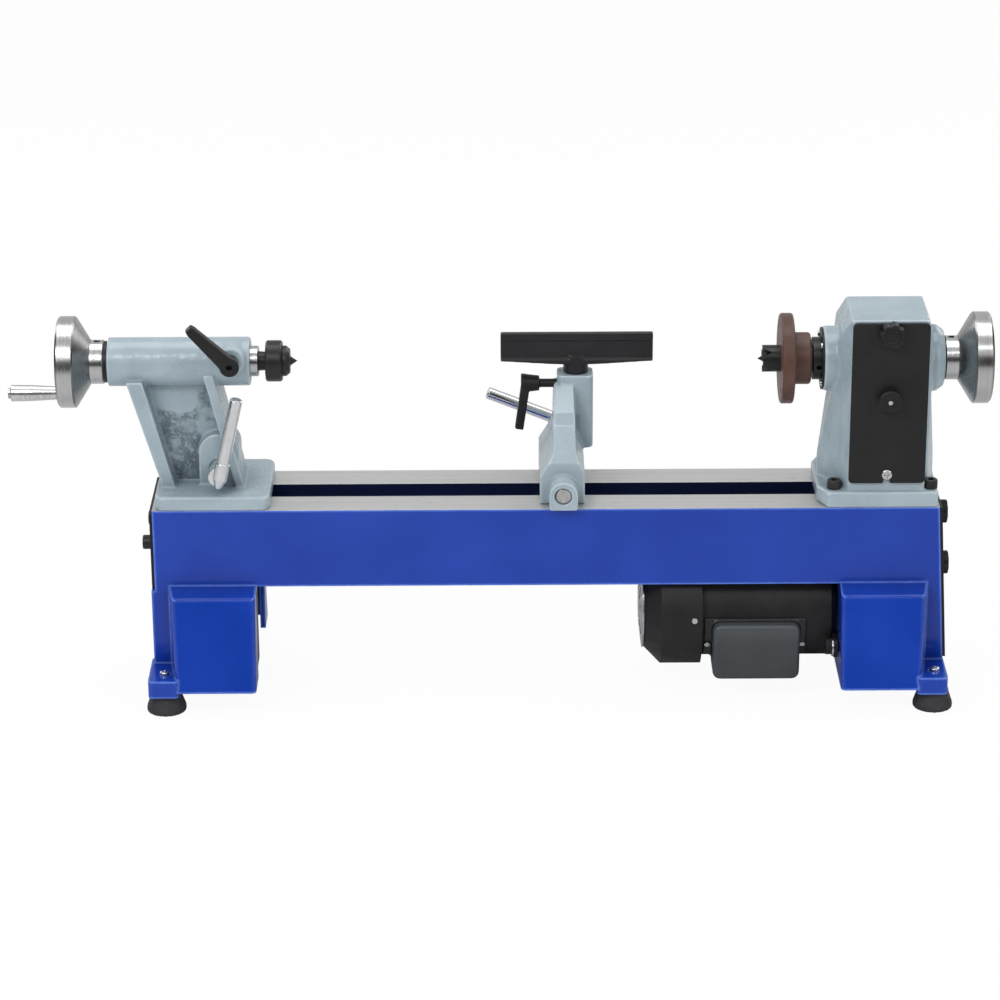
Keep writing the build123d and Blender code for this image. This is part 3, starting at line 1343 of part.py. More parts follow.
def make_rest_blade():
    high, low = BED_TOP + BLADE_TOP, BED_TOP + BLADE_BOTTOM
    edge = high - 7
    section = [
        (40.0, high),
        (40.0, edge),
        (41.5, edge - 0.6),
        (41.5, low + 6),
        (39.0, low + 4.5),
        (39.0, low + 1),
        (40.5, low),
        (56.0, low + 2),
        (58.0, low + 4),
        (48.5, high - 3),
        (46.0, high),
    ]
    blade = along_x(section, BLADE_LEFT, BLADE_LEFT + BLADE_LENGTH)
    middle = BLADE_LEFT + BLADE_LENGTH / 2
    end = BLADE_LENGTH / 2 + 1
    outline = [
        (middle + 12, low - 1),
        (middle + 12, low),
        (middle + end, low + 3.6),
        (middle + end, low - 1),
    ]
    taper = along_y(outline, 30, 70)
    blade -= taper
    blade -= mirror(taper, Plane.YZ.offset(middle))
    hub = bar_z(BOSS_HIGH + 0.2, low + 8, 11.5, POST_X, POST_Y)
    blade = blade + hub
    return blade - bar_z(BOSS_HIGH - 60, BOSS_HIGH + 9.1, POST_RADIUS + RUNNING, POST_X, POST_Y)


def make_rest_lever():
    place = (REST_LEVER_X, POST_Y, REST_LEVER_Z)
    return aimed(make_kip_lever(46), place, (-1, 0, 0), (0, 0, -1))


def make_rest_lock_stud():
    return bar_x(REST_LEVER_X, POST_X - POST_RADIUS - 0.4, KIP_STUD, POST_Y, REST_LEVER_Z)


parts["end_plate"] = make_end_plate()
parts["end_plate_bolts"] = make_end_plate_bolts()
parts["end_cover"] = make_end_cover()
parts["end_cover_knob_upper"] = make_end_knob(KNOB_DROPS[0])
parts["end_cover_knob_lower"] = make_end_knob(KNOB_DROPS[1])
parts["switch_box"] = make_switch_box()
parts["start_button"] = make_button(*switch_buttons()[0][:2], 3.5)
parts["stop_button"] = make_button(*switch_buttons()[1][:2], 6.0)
parts["wiring_box"] = make_wiring_box()
parts["tailstock"] = make_tailstock()
crank_hole = bar_x(TAIL_WHEEL_FACE - 1, TAIL_WHEEL_FACE + 14, 3, 0, SPINDLE_Z - CRANK_DROP)
parts["tail_handwheel"] = make_wheel(TAIL_WHEEL_FACE, 1) - crank_hole
parts["tail_lead_screw"] = make_tail_lead_screw()
parts["tail_ring"] = make_tail_ring()
parts["quill"] = make_quill()
parts["crank_stud"] = make_crank_stud()
parts["crank_grip"] = make_crank_grip()
parts["live_centre_body"] = make_live_body()
parts["live_centre_point"] = make_live_point()
parts["quill_lock_lever"] = grouped([make_quill_lever(), make_quill_lock_stud()])
parts["tail_clamp_shaft"] = make_tail_clamp_shaft()
parts["tail_clamp_lever"] = make_tail_clamp_lever()
parts["tail_clamp_bolt"] = grouped([make_eye_bolt(LOCK_X, LOCK_Z, LOCK_RADIUS), make_clamp_nut(LOCK_X)])
parts["tail_clamp_plate"] = make_clamp_plate(LOCK_X, 50)
parts["banjo"] = make_banjo()
parts["banjo_rod"] = make_banjo_rod()
parts["banjo_lever"] = make_banjo_lever()
parts["banjo_eye_bolt"] = grouped([make_eye_bolt(ROD_X, ROD_Z, ROD_RADIUS), make_clamp_nut(ROD_X)])
parts["banjo_clamp_plate"] = make_clamp_plate(ROD_X, 44)
parts["tool_rest_post"] = make_rest_post()
parts["tool_rest_blade"] = make_rest_blade()
parts["rest_lock_lever"] = grouped([make_rest_lever(), make_rest_lock_stud()])


# ---------------------------------------------------------------- origin
low = Vector(*(min(getattr(shape.bounding_box().min, axis) for shape in parts.values()) for axis in "XYZ"))
high = Vector(*(max(getattr(shape.bounding_box().max, axis) for shape in parts.values()) for axis in "XYZ"))
SHIFT = (-(low.X + high.X) / 2, -(low.Y + high.Y) / 2, -low.Z)

for name, shape in parts.items():
    placed = [Pos(*SHIFT) * solid for solid in shape.solids()]
    export_step(grouped(placed) if len(placed) > 1 else placed[0], f"parts/{name}.step")
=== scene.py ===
import bpy
import json
import math
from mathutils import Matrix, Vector

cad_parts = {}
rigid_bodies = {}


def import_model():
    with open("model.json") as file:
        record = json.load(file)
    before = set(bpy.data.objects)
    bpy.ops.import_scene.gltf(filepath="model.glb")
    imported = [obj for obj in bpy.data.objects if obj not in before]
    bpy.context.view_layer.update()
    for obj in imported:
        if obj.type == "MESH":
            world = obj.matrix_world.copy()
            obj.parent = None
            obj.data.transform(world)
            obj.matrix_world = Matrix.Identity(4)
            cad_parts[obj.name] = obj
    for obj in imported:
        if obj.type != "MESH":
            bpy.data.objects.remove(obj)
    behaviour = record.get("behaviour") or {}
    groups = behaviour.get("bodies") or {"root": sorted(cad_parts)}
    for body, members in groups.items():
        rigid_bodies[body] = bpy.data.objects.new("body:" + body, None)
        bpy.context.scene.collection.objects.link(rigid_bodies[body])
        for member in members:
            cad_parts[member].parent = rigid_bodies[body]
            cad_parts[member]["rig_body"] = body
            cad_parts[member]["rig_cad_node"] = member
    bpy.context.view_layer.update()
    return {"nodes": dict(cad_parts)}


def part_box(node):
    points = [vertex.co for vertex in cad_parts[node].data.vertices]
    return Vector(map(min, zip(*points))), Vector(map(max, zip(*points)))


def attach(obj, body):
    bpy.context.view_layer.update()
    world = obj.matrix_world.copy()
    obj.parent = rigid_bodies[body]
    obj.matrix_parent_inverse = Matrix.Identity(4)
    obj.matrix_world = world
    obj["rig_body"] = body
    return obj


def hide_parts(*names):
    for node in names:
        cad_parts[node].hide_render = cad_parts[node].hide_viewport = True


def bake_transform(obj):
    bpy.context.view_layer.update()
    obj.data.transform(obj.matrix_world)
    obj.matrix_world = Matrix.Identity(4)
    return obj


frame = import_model()

WAY_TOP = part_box("bed")[1].z
AXIS_Y = -0.0284  # the spindle line
SPINDLE_Z = 0.3135
MOTOR_Z = 0.0715
WHEEL_CENTRE = (0, AXIS_Y, SPINDLE_Z)
PULLEY_CENTRE = (0, AXIS_Y, MOTOR_Z)
HALF_SLOT = 0.0158  # of the slot between the ways, from its middle to its wall
PAD_TOP = 0.0350  # of the legs' pads
BOLT_REACH = 0.0065  # from a foot bolt's middle to its rim
BELT_LEVELS = 24  # runs that the belt is cut into


# ---------------------------------------------------------------- finishes


class Finish:
    """A material's node tree, built one node at a time."""

    def __init__(self, name, colour, metallic, roughness):
        self.material = bpy.data.materials.new(name)
        self.material.use_nodes = True
        self.nodes = self.material.node_tree.nodes
        self.links = self.material.node_tree.links
        self.shader = self.nodes["Principled BSDF"]
        self.set(Base_Color=(*colour, 1), Metallic=metallic, Roughness=roughness)
        self.material.diffuse_color = (*colour, 1)
        self.coordinates = self.nodes.new("ShaderNodeTexCoord")

    def feed(self, socket, value):
        """Gives an input a colour, a number or another node's socket."""
        if isinstance(value, bpy.types.NodeSocket):
            self.links.new(value, socket)
        else:
            socket.default_value = value

    def add(self, kind, **inputs):
        node = self.nodes.new("ShaderNode" + kind)
        for name, value in inputs.items():
            self.feed(node.inputs[name.replace("_", " ")], value)
        return node

    def set(self, **inputs):
        for name, value in inputs.items():
            self.feed(self.shader.inputs[name.replace("_", " ")], value)
        return self.material

    def place(self, stretch=(1, 1, 1), centre=(0, 0, 0)):
        """Object coordinates, moved so that centre is zero and then stretched."""
        shift = [-c * s for c, s in zip(centre, stretch)]
        where = self.coordinates.outputs["Object"]
        return self.add("Mapping", Scale=stretch, Location=shift, Vector=where).outputs["Vector"]

    def split(self, where):
        return self.add("SeparateXYZ", Vector=where).outputs

    def normals(self):
        return self.split(self.coordinates.outputs["Normal"])

    def noise(self, where, scale, detail=4, rough=0.55):
        texture = self.add("TexNoise", Vector=where, Scale=scale, Detail=detail, Roughness=rough)
        return texture.outputs["Fac"]

    def cells(self, where, scale):
        return self.add("TexVoronoi", Vector=where, Scale=scale).outputs["Distance"]

    def spread(self, value, low=0.3, high=0.7, out_low=0.0, out_high=1.0):
        """The value, stretched so that low becomes out_low and high becomes out_high."""
        ends = {"From_Min": low, "From_Max": high, "To_Min": out_low, "To_Max": out_high}
        return self.add("MapRange", Value=value, **ends).outputs["Result"]

    def patches(self, where, scale, detail, *ends):
        return self.spread(self.noise(where, scale, detail), *ends)

    def calc(self, kind, *terms):
        """A Math node; each term is a socket or a number."""
        node = self.nodes.new("ShaderNodeMath")
        node.operation = kind
        for socket, term in zip(node.inputs, terms):
            self.feed(socket, term)
        return node.outputs["Value"]

    def times(self, first, second):
        return self.calc("MULTIPLY", first, second)

    def plus(self, first, second):
        return self.calc("ADD", first, second)

    def rest_of(self, value, whole=1.0):
        return self.calc("SUBTRACT", whole, value)

    def blend(self, value, first, second):
        """A colour between two, each a colour or a socket."""
        node = self.add("Mix", Factor=value)
        node.data_type = "RGBA"
        for socket, colour in ((node.inputs[6], first), (node.inputs[7], second)):
            self.feed(socket, (*colour, 1) if isinstance(colour, tuple) else colour)
        return node.outputs[2]

    def soft_corner(self, radius):
        node = self.add("Bevel", Radius=radius)
        node.samples = 6
        return node.outputs["Normal"]

    def edges(self, radius, start=0.015, full=0.12):
        """1 along the corners, where a finish wears or catches light."""
        dot = self.nodes.new("ShaderNodeVectorMath")
        dot.operation = "DOT_PRODUCT"
        self.feed(dot.inputs[0], self.soft_corner(radius))
        self.feed(dot.inputs[1], self.add("NewGeometry").outputs["Normal"])
        return self.spread(self.rest_of(dot.outputs["Value"]), start, full)

    def crown(self, start, full):
        """1 on the convex edges of an evenly meshed piece."""
        return self.spread(self.add("NewGeometry").outputs["Pointiness"], start, full)

    def painted_corner_shade(self, reach):
        """1 deep in a corner, where finishes darken their colour as painted shade."""
        node = self.add("AmbientOcclusion", Distance=reach)
        node.samples = 6
        return self.spread(node.outputs["AO"], 0.95, 0.3)

    def bump(self, height, strength, distance, normal=None):
        node = self.add("Bump", Strength=strength, Distance=distance, Height=height)
        if normal is not None:
            self.feed(node.inputs["Normal"], normal)
        return node.outputs["Normal"]


def blue_enamel():
    """The bed's gloss enamel, with its way tops ground bare."""
    f = Finish("blue_enamel", (0.012, 0.046, 0.36), 0.0, 0.3)
    where = f.place()
    cloud = f.noise(where, 14, 3)
    paint = f.blend(f.spread(cloud), (0.006, 0.040, 0.33), (0.009, 0.050, 0.40))
    # painted highlight: light blue streaks along the edges, in patches
    painted_edge_highlight = f.times(f.edges(0.0035, 0.006, 0.05), f.patches(where, 60, 5, 0.2, 0.6, 0.5, 1.0))
    paint = f.blend(f.times(painted_edge_highlight, 0.8), paint, (0.16, 0.30, 0.88))
    # painted shade: the enamel darkens deep in the corners
    paint = f.blend(f.times(f.painted_corner_shade(0.02), 0.5), paint, (0.003, 0.014, 0.13))

    axes = f.split(f.place(centre=(0, AXIS_Y, 0)))
    faces_up = f.calc("GREATER_THAN", f.normals()["Z"], 0.9)
    top = f.times(f.calc("GREATER_THAN", axes["Z"], WAY_TOP - 0.0003), faces_up)
    grain = f.noise(f.place((3, 900, 900)), 1, 5, 0.6)
    swirl = f.noise(f.place((60, 220, 220)), 1, 4)
    ground = f.blend(f.spread(grain), (0.50, 0.50, 0.50), (0.66, 0.66, 0.655))
    ground = f.blend(f.spread(swirl, 0.62, 0.8), ground, (0.36, 0.35, 0.34))

    # painted shade: the slot between the ways is darkened below the way tops
    inside = f.calc("LESS_THAN", f.calc("ABSOLUTE", axes["Y"]), HALF_SLOT)
    high = f.calc("GREATER_THAN", axes["Z"], WAY_TOP - 0.03)
    slot = f.times(inside, f.times(high, f.rest_of(top)))
    paint = f.blend(slot, paint, (0.006, 0.010, 0.032))

    normal = f.bump(f.noise(where, 260, 2), 0.16, 0.0004, f.soft_corner(0.0016))
    normal = f.bump(f.noise(where, 900, 2), 0.05, 0.0002, normal)
    normal = f.bump(f.times(grain, top), 0.16, 0.0003, normal)
    gloss = f.spread(cloud, 0.3, 0.7, 0.12, 0.2)
    dull = f.spread(grain, 0.3, 0.7, 0.3, 0.42)
    rough = f.plus(f.times(top, dull), f.times(f.rest_of(top), gloss))
    f.set(Specular_IOR_Level=0.36, Metallic=f.times(top, 0.7), Roughness=rough)
    return f.set(Base_Color=f.blend(top, paint, ground), Normal=normal)


def cast_paint(name, pitted_and_shaded):
    """Semi gloss paint over a sand casting; the last argument leaves the tailstock's web rough and paints
    shade into its recess.
    """
    f = Finish(name, (0.33, 0.405, 0.45), 0.0, 0.24)
    where = f.place()
    grain = f.noise(where, 420, 4, 0.6)
    paint = f.blend(f.patches(where, 22, 4), (0.285, 0.36, 0.405), (0.365, 0.445, 0.49))
    specks = f.patches(where, 700, 2, 0.66, 0.75)
    paint = f.blend(f.times(specks, 0.4), paint, (0.16, 0.2, 0.235))
    # painted highlight: pale streaks along the convex edges, in patches
    painted_rim_light = f.times(f.crown(0.515, 0.56), f.patches(where, 90, 5, 0.25, 0.6, 0.4, 1.0))
    paint = f.blend(f.times(painted_rim_light, 0.65), paint, (0.72, 0.79, 0.83))
    # painted shade: the paint darkens deep in the corners
    paint = f.blend(f.times(f.painted_corner_shade(0.022), 0.55), paint, (0.15, 0.21, 0.245))
    normal = f.bump(f.noise(where, 38, 3, 0.5), 0.4, 0.005, f.soft_corner(0.002))
    normal = f.bump(f.cells(where, 190), 0.06, 0.0012, normal)
    normal = f.bump(grain, 0.14, 0.0004, normal)
    if pitted_and_shaded:
        # the web's recess is left as it came from the sand, roughest along its foot; its paint there is also
        # darkened as painted shade, most towards the foot
        axes = f.split(where)
        below = f.calc("LESS_THAN", axes["Z"], SPINDLE_Z - 0.024)
        depth = f.calc("ABSOLUTE", f.calc("SUBTRACT", axes["Y"], AXIS_Y))
        near = f.times(below, f.calc("LESS_THAN", depth, 0.0065))
        flat = f.calc("GREATER_THAN", f.calc("ABSOLUTE", f.normals()["Y"]), 0.8)
        low = f.spread(axes["Z"], WAY_TOP + 0.075, WAY_TOP + 0.02)
        ragged = f.spread(f.plus(f.noise(where, 34, 3), f.times(low, 0.18)), 0.5, 0.66)
        patch = f.times(near, f.times(flat, ragged))
        hollows = f.spread(f.noise(where, 260, 5, 0.75), 0.42, 0.58)
        shade = f.times(patch, f.rest_of(f.times(hollows, 0.75), 0.75))
        paint = f.blend(shade, paint, (0.17, 0.225, 0.26))
        normal = f.bump(f.times(patch, hollows), 0.9, 0.0022, normal)
    rough = f.spread(grain, 0.3, 0.7, 0.16, 0.3)
    return f.set(Base_Color=paint, Normal=normal, Roughness=rough)


def satin_black(name, low, high, rough_low, rough_high, grain, depth, painted_edge_light):
    """Black paint, plastic or oxide with its own grain; the last argument is how strongly the corners get a
    painted highlight.
    """
    f = Finish(name, high, 0.0, rough_high)
    where = f.place()
    light = tuple(min(1.0, c * 2.6 + 0.03) for c in high)
    colour = f.blend(f.patches(where, 25, 4), low, high)
    dust = f.spread(f.noise(where, 300, 5, 0.7), 0.6, 0.8)
    colour = f.blend(f.times(dust, 0.12), colour, light)
    # painted highlight: the corners are lightened in patches
    painted_rim_light = f.times(f.edges(0.0009), f.patches(where, 120, 4, 0.35, 0.65))
    colour = f.blend(f.times(painted_rim_light, painted_edge_light), colour, light)
    normal = f.bump(f.noise(where, grain, 3), 0.3, depth, f.soft_corner(0.0006))
    rough = f.patches(where, 80, 4, 0.3, 0.7, rough_low, rough_high)
    return f.set(Specular_IOR_Level=0.32, Base_Color=colour, Normal=normal, Roughness=rough)


def turned_metal(name, light, dark, centre, rings, rough_low, rough_high, depth, painted_cone_reflection):
    """Metal turned about an X axis through centre, with fine tool rings; the last argument darkens its slopes
    as a painted dark reflection.
    """
    f = Finish(name, light, 1.0, rough_high)
    axes = f.split(f.place(centre=centre))
    squares = f.plus(f.calc("POWER", axes["Y"], 2), f.calc("POWER", axes["Z"], 2))
    turning = f.add("CombineXYZ", X=f.calc("SQRT", squares), Y=axes["X"]).outputs["Vector"]
    ring = f.noise(turning, rings, 4, 0.65)
    smear = f.noise(f.place(), 45, 5, 0.65)
    colour = f.blend(f.spread(ring), dark, light)
    colour = f.blend(f.times(f.spread(smear, 0.55, 0.75), 0.25), colour, dark)
    # painted reflection: the sloping faces are darkened as if they mirrored dark surroundings
    if painted_cone_reflection:
        lean = f.calc("ABSOLUTE", f.normals()["X"])
        slope = f.times(f.spread(lean, 0.25, 0.5), f.spread(lean, 0.97, 0.9))
        colour = f.blend(f.times(slope, painted_cone_reflection), colour, (0.10, 0.10, 0.102))
    normal = f.bump(f.noise(turning, rings / 9, 3), 0.12, 0.0006, f.soft_corner(0.0006))
    normal = f.bump(ring, 0.22, depth, normal)
    mixed = f.plus(f.times(ring, 0.5), f.times(smear, 0.5))
    rough = f.spread(mixed, 0.35, 0.65, rough_low, rough_high)
    return f.set(Base_Color=colour, Normal=normal, Roughness=rough)


def bright_metal(name, light, dark, stretch, rough_low, rough_high, depth):
    """Ground, brushed or plated metal whose grain is drawn out by stretch."""
    f = Finish(name, light, 1.0, rough_high)
    grain = f.noise(f.place(stretch), 1, 5, 0.6)
    smear = f.noise(f.place(), 60, 5, 0.6)
    colour = f.blend(f.spread(grain), dark, light)
    colour = f.blend(f.times(f.spread(smear, 0.55, 0.8), 0.3), colour, dark)
    normal = f.bump(grain, 0.2, depth, f.soft_corner(0.0006))
    rough = f.spread(smear, 0.3, 0.7, rough_low, rough_high)
    return f.set(Base_Color=colour, Normal=normal, Roughness=rough)


def moulded(name, low, high, rough, grain, depth, coat):
    """Coloured plastic or rubber with a moulded skin."""
    f = Finish(name, high, 0.0, rough)
    where = f.place()
    colour = f.blend(f.patches(where, 40, 4), low, high)
    scuff = f.times(f.edges(0.0008), f.patches(where, 150, 4, 0.4, 0.7))
    pale = tuple(min(1.0, c * 1.5 + 0.05) for c in high)
    colour = f.blend(f.times(scuff, 0.4), colour, pale)
    normal = f.bump(f.noise(where, grain, 3), 0.3, depth, f.soft_corner(0.0008))
    gloss = f.patches(where, 90, 4, 0.3, 0.7, rough * 0.85, min(1.0, rough * 1.15))
    return f.set(Coat_Weight=coat, Base_Color=colour, Normal=normal, Roughness=gloss)


def capacitor_skin():
    """The capacitor's grey cover over its black mounting plate."""
    f = Finish("capacitor", (0.06, 0.066, 0.072), 0.0, 0.42)
    where = f.place()
    near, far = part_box("capacitor_cover")
    axes = f.split(where)
    colour = f.blend(f.patches(where, 30, 4), (0.030, 0.034, 0.038), (0.042, 0.047, 0.051))
    # painted light: the cover is lightened towards its top
    crown = f.spread(axes["Z"], near.z + (far.z - near.z) * 0.62, far.z - 0.008)
    colour = f.blend(f.times(crown, 0.5), colour, (0.075, 0.086, 0.093))
    plate = f.spread(axes["Y"], near.y + 0.0085, near.y + 0.0100)
    colour = f.blend(plate, colour, (0.012, 0.012, 0.013))
    normal = f.bump(f.noise(where, 900, 3), 0.25, 0.0003)
    rough = f.patches(where, 80, 4, 0.3, 0.7, 0.34, 0.46)
    return f.set(Base_Color=colour, Normal=normal, Roughness=rough)


# name, darker and lighter colour, roughness from and to, scale and depth of the grain, painted highlight on
# the edges
BLACKS = (
    ("black_plate", (0.009, 0.009, 0.010), (0.014, 0.014, 0.015), 0.36, 0.5, 900, 0.0003, 0.35),
    ("black_plastic", (0.008, 0.008, 0.009), (0.014, 0.014, 0.015), 0.4, 0.55, 1300, 0.0003, 0.35),
    ("black_screws", (0.014, 0.013, 0.013), (0.03, 0.027, 0.026), 0.3, 0.45, 1500, 0.0002, 0.6),
    ("clamp_iron", (0.05, 0.048, 0.045), (0.09, 0.086, 0.08), 0.5, 0.65, 500, 0.0006, 0.35),
    ("black_oxide", (0.010, 0.010, 0.010), (0.022, 0.020, 0.020), 0.26, 0.4, 1400, 0.0002, 0.6),
    ("brown_plate", (0.070, 0.034, 0.025), (0.115, 0.058, 0.044), 0.34, 0.5, 800, 0.0003, 0.4),
    ("blade", (0.010, 0.010, 0.012), (0.020, 0.020, 0.022), 0.3, 0.46, 700, 0.0003, 0.7),
    ("motor_black", (0.008, 0.008, 0.009), (0.014, 0.014, 0.015), 0.42, 0.58, 650, 0.0005, 0.35),
)

# name, lighter and darker colour, centre, scale of the rings, roughness from and to, depth, painted dark
# reflection on the slopes
TURNED = (
    ("bearing_steel", (0.68, 0.68, 0.69), (0.42, 0.42, 0.43), WHEEL_CENTRE, 1500, 0.14, 0.28, 0.0002, 0),
    ("turned_aluminium", (0.70, 0.70, 0.70), (0.42, 0.42, 0.425), WHEEL_CENTRE, 1600, 0.16, 0.3, 0.0002, 0.5),
    ("pulley_aluminium", (0.70, 0.70, 0.70), (0.46, 0.46, 0.465), PULLEY_CENTRE, 900, 0.26, 0.42, 0.0003, 0),
)

# name, lighter and darker colour, stretch of the grain, roughness from and to, depth of the grain
BRIGHT = (
    ("bright_screws", (0.78, 0.78, 0.77), (0.5, 0.5, 0.5), (900, 900, 900), 0.16, 0.32, 0.0002),
    ("steel", (0.64, 0.64, 0.63), (0.40, 0.40, 0.40), (500, 120, 120), 0.2, 0.36, 0.0003),
    ("grip", (0.80, 0.80, 0.80), (0.52, 0.52, 0.52), (700, 90, 90), 0.18, 0.3, 0.0003),
    ("chrome", (0.86, 0.87, 0.88), (0.74, 0.75, 0.76), (80, 80, 80), 0.05, 0.11, 0.0001),
    ("grille", (0.62, 0.62, 0.62), (0.42, 0.42, 0.43), (300, 300, 300), 0.22, 0.38, 0.0003),
)

# name, darker and lighter colour, roughness, scale and depth of the skin, clear coat
MOULDED = (
    ("rubber", (0.022, 0.021, 0.024), (0.034, 0.033, 0.038), 0.7, 1100, 0.0004, 0),
    ("belt", (0.010, 0.010, 0.010), (0.018, 0.018, 0.018), 0.6, 1500, 0.0004, 0),
    ("start", (0.010, 0.20, 0.035), (0.016, 0.27, 0.05), 0.32, 900, 0.0002, 0.3),
    ("stop", (0.34, 0.010, 0.008), (0.46, 0.018, 0.014), 0.32, 900, 0.0002, 0.3),
)

finishes = {
    "blue_paint": blue_enamel(),
    "grey_paint": cast_paint("grey_paint", False),
    "capacitor": capacitor_skin(),
}
KINDS = ((satin_black, BLACKS), (turned_metal, TURNED), (bright_metal, BRIGHT), (moulded, MOULDED))
for make, table in KINDS:
    for row in table:
        finishes[row[0]] = make(*row)
rough_casting = cast_paint("rough_casting", True)

for node in frame["nodes"].values():
    for place in node.material_slots:
        slot = place.material.name.split(".")[0]
        if slot in finishes:
            place.material = finishes[slot]


# ---------------------------------------------------------------- making pieces


def let_go():
    bpy.ops.object.select_all(action="DESELECT")


def take_up(piece):
    let_go()
    piece.select_set(True)
    bpy.context.view_layer.objects.active = piece


def wear(piece, material):
    piece.data.materials.clear()
    piece.data.materials.append(material)


def copied(name, node):
    """A copy of a CAD node as one sewn mesh, free to be worked on."""
    source = frame["nodes"][node]
    piece = source.copy()
    piece.data = source.data.copy()
    piece.name = name
    piece.data.name = name
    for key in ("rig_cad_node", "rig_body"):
        if key in piece:
            del piece[key]
    piece.parent = None
    bpy.context.scene.collection.objects.link(piece)
    take_up(piece)
    bpy.ops.object.mode_set(mode="EDIT")
    bpy.ops.mesh.select_all(action="SELECT")
    bpy.ops.mesh.remove_doubles(threshold=0.00001)
    bpy.ops.object.mode_set(mode="OBJECT")
    return piece


def smooth_casting(name, node, body, material, grid, rounds):
    """A cast or moulded piece: the CAD shape with its corners softened."""
    piece = copied(name, node)
    remesh = piece.modifiers.new("pour", "REMESH")
    remesh.mode = "VOXEL"
    remesh.voxel_size = grid
    bpy.ops.object.modifier_apply(modifier="pour")
    soften = piece.modifiers.new("soften", "SMOOTH")
    soften.factor = 0.5
    soften.iterations = rounds
    bpy.ops.object.modifier_apply(modifier="soften")
    bpy.ops.object.shade_smooth()
    wear(piece, material)
    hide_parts(node)
    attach(piece, body)
    return piece


# piece, CAD node, body, material slot, grid of the remesh, rounds of smoothing
POURED = (
    ("headstock_casting", "headstock", "stand", "grey_paint", 0.0013, 4),
    ("tailstock_casting", "tailstock", "tailstock", "grey_paint", 0.00106, 5),
    ("banjo_casting", "banjo", "banjo", "grey_paint", 0.0009, 6),
    ("capacitor_shell", "capacitor_cover", "motor", "capacitor", 0.0009, 22),
    ("quill_lock_handle", "quill_lock_lever", "quill_lock", "black_plastic", 0.0005, 5),
    ("rest_lock_handle", "rest_lock_lever", "rest_lock", "black_plastic", 0.0005, 5),
    ("rest_bar", "tool_rest_blade", "rest_blade", "blade", 0.0008, 3),
    ("cover_knob_lobes", "cover_knob", "cover_knob", "black_plastic", 0.0004, 4),
    ("end_knob_upper_lobes", "end_cover_knob_upper", "end_knob_upper", "black_plastic", 0.0004, 4),
    ("end_knob_lower_lobes", "end_cover_knob_lower", "end_knob_lower", "black_plastic", 0.0004, 4),
    ("rubber_feet", "feet", "stand", "rubber", 0.0009, 4),
)
for name, node, body, slot, grid, rounds in POURED:
    skin = rough_casting if node == "tailstock" else finishes[slot]
    smooth_casting(name, node, body, skin, grid, rounds)


# the belt stretches as the motor swings; here it is cut into levels between the motor pulley and the spindle
running_belt = copied("running_belt", "drive_belt")
bpy.ops.object.mode_set(mode="EDIT")
bpy.ops.mesh.select_all(action="SELECT")
bpy.ops.mesh.dissolve_limited(angle_limit=math.radians(1))
bpy.ops.mesh.quads_convert_to_tris()
for run in range(1, BELT_LEVELS):
    level = MOTOR_Z + (SPINDLE_Z - MOTOR_Z) * run / BELT_LEVELS
    bpy.ops.mesh.select_all(action="SELECT")
    bpy.ops.mesh.bisect(plane_co=(0, 0, level), plane_no=(0, 0, 1))
bpy.ops.object.mode_set(mode="OBJECT")
bpy.ops.object.shade_smooth_by_angle(angle=math.radians(30))
wear(running_belt, finishes["belt"])
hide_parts("drive_belt")
low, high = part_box("drive_belt")
middle = (low.x + high.x) / 2
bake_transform(running_belt)


def pick_cap(piece):
    """Selects the flat face at the top of a round blank, in its own axes."""
    bpy.ops.object.mode_set(mode="OBJECT")
    mesh = piece.data
    top = max(face.center.z for face in mesh.polygons)
    for part in (*mesh.edges, *mesh.vertices):
        part.select = False
    for face in mesh.polygons:
        face.select = face.center.z > top - 1e-6 and face.normal.z > 0.9
    bpy.ops.object.mode_set(mode="EDIT")
    bpy.ops.mesh.select_mode(type="FACE")


def round_head(name, body, slot, place, turn, radius, height, steps, finish=None):
    """A turned head: a round blank whose cap is bevelled, then stepped in by (inset, depth) pairs."""
    let_go()
    bpy.ops.mesh.primitive_cylinder_add(
        vertices=40, radius=radius, depth=height, location=place, rotation=turn
    )
    head = bpy.context.object
    head.name = name
    head.data.name = name
    pick_cap(head)
    bpy.ops.mesh.bevel(offset=height * 0.3, segments=3, affect="EDGES")
    pick_cap(head)
    for inset, depth in steps:
        bpy.ops.mesh.inset(thickness=inset, depth=depth)
    bpy.ops.mesh.select_all(action="SELECT")
    bpy.ops.mesh.remove_doubles(threshold=0.000005)
    bpy.ops.mesh.normals_make_consistent(inside=False)
    bpy.ops.object.mode_set(mode="OBJECT")
    bpy.ops.object.transform_apply(location=True, rotation=True, scale=True)
    bpy.ops.object.shade_smooth_by_angle(angle=math.radians(35))
    wear(head, finishes[finish or slot])
    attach(head, body)
    return head


TO_TOP = (0, 0, 0)
TO_REAR = (math.radians(90), 0, 0)
TO_RIGHT = (0, math.radians(90), 0)

# the screw that holds the quill lock's hub
low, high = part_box("quill_lock_lever")
place = (high.x - 0.0092, high.y - 0.0170, low.z + 0.0092)
socket = ((0.0011, -0.0009), (0.0017, 0), (0.0001, -0.0006))
screw = ("quill_lock_screw", "quill_lock", "black_plastic")
round_head(*screw, place, TO_REAR, 0.0058, 0.0016, socket, finish="black_screws")

# the pan heads that hold the feet, seen on top of the pads
low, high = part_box("foot_bolts")
recess = ((0.0012, 0.0003), (0.0010, 0), (0.0001, -0.0008))
for side, x in (("left", low.x + BOLT_REACH), ("right", high.x - BOLT_REACH)):
    for end, y in (("near", low.y + BOLT_REACH), ("far", high.y - BOLT_REACH)):
        screw = ("foot_screw_" + side + "_" + end, "stand", "bright_screws")
        head = round_head(*screw, (x, y, PAD_TOP + 0.0014), TO_TOP, 0.0042, 0.0030, recess)
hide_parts("foot_bolts")

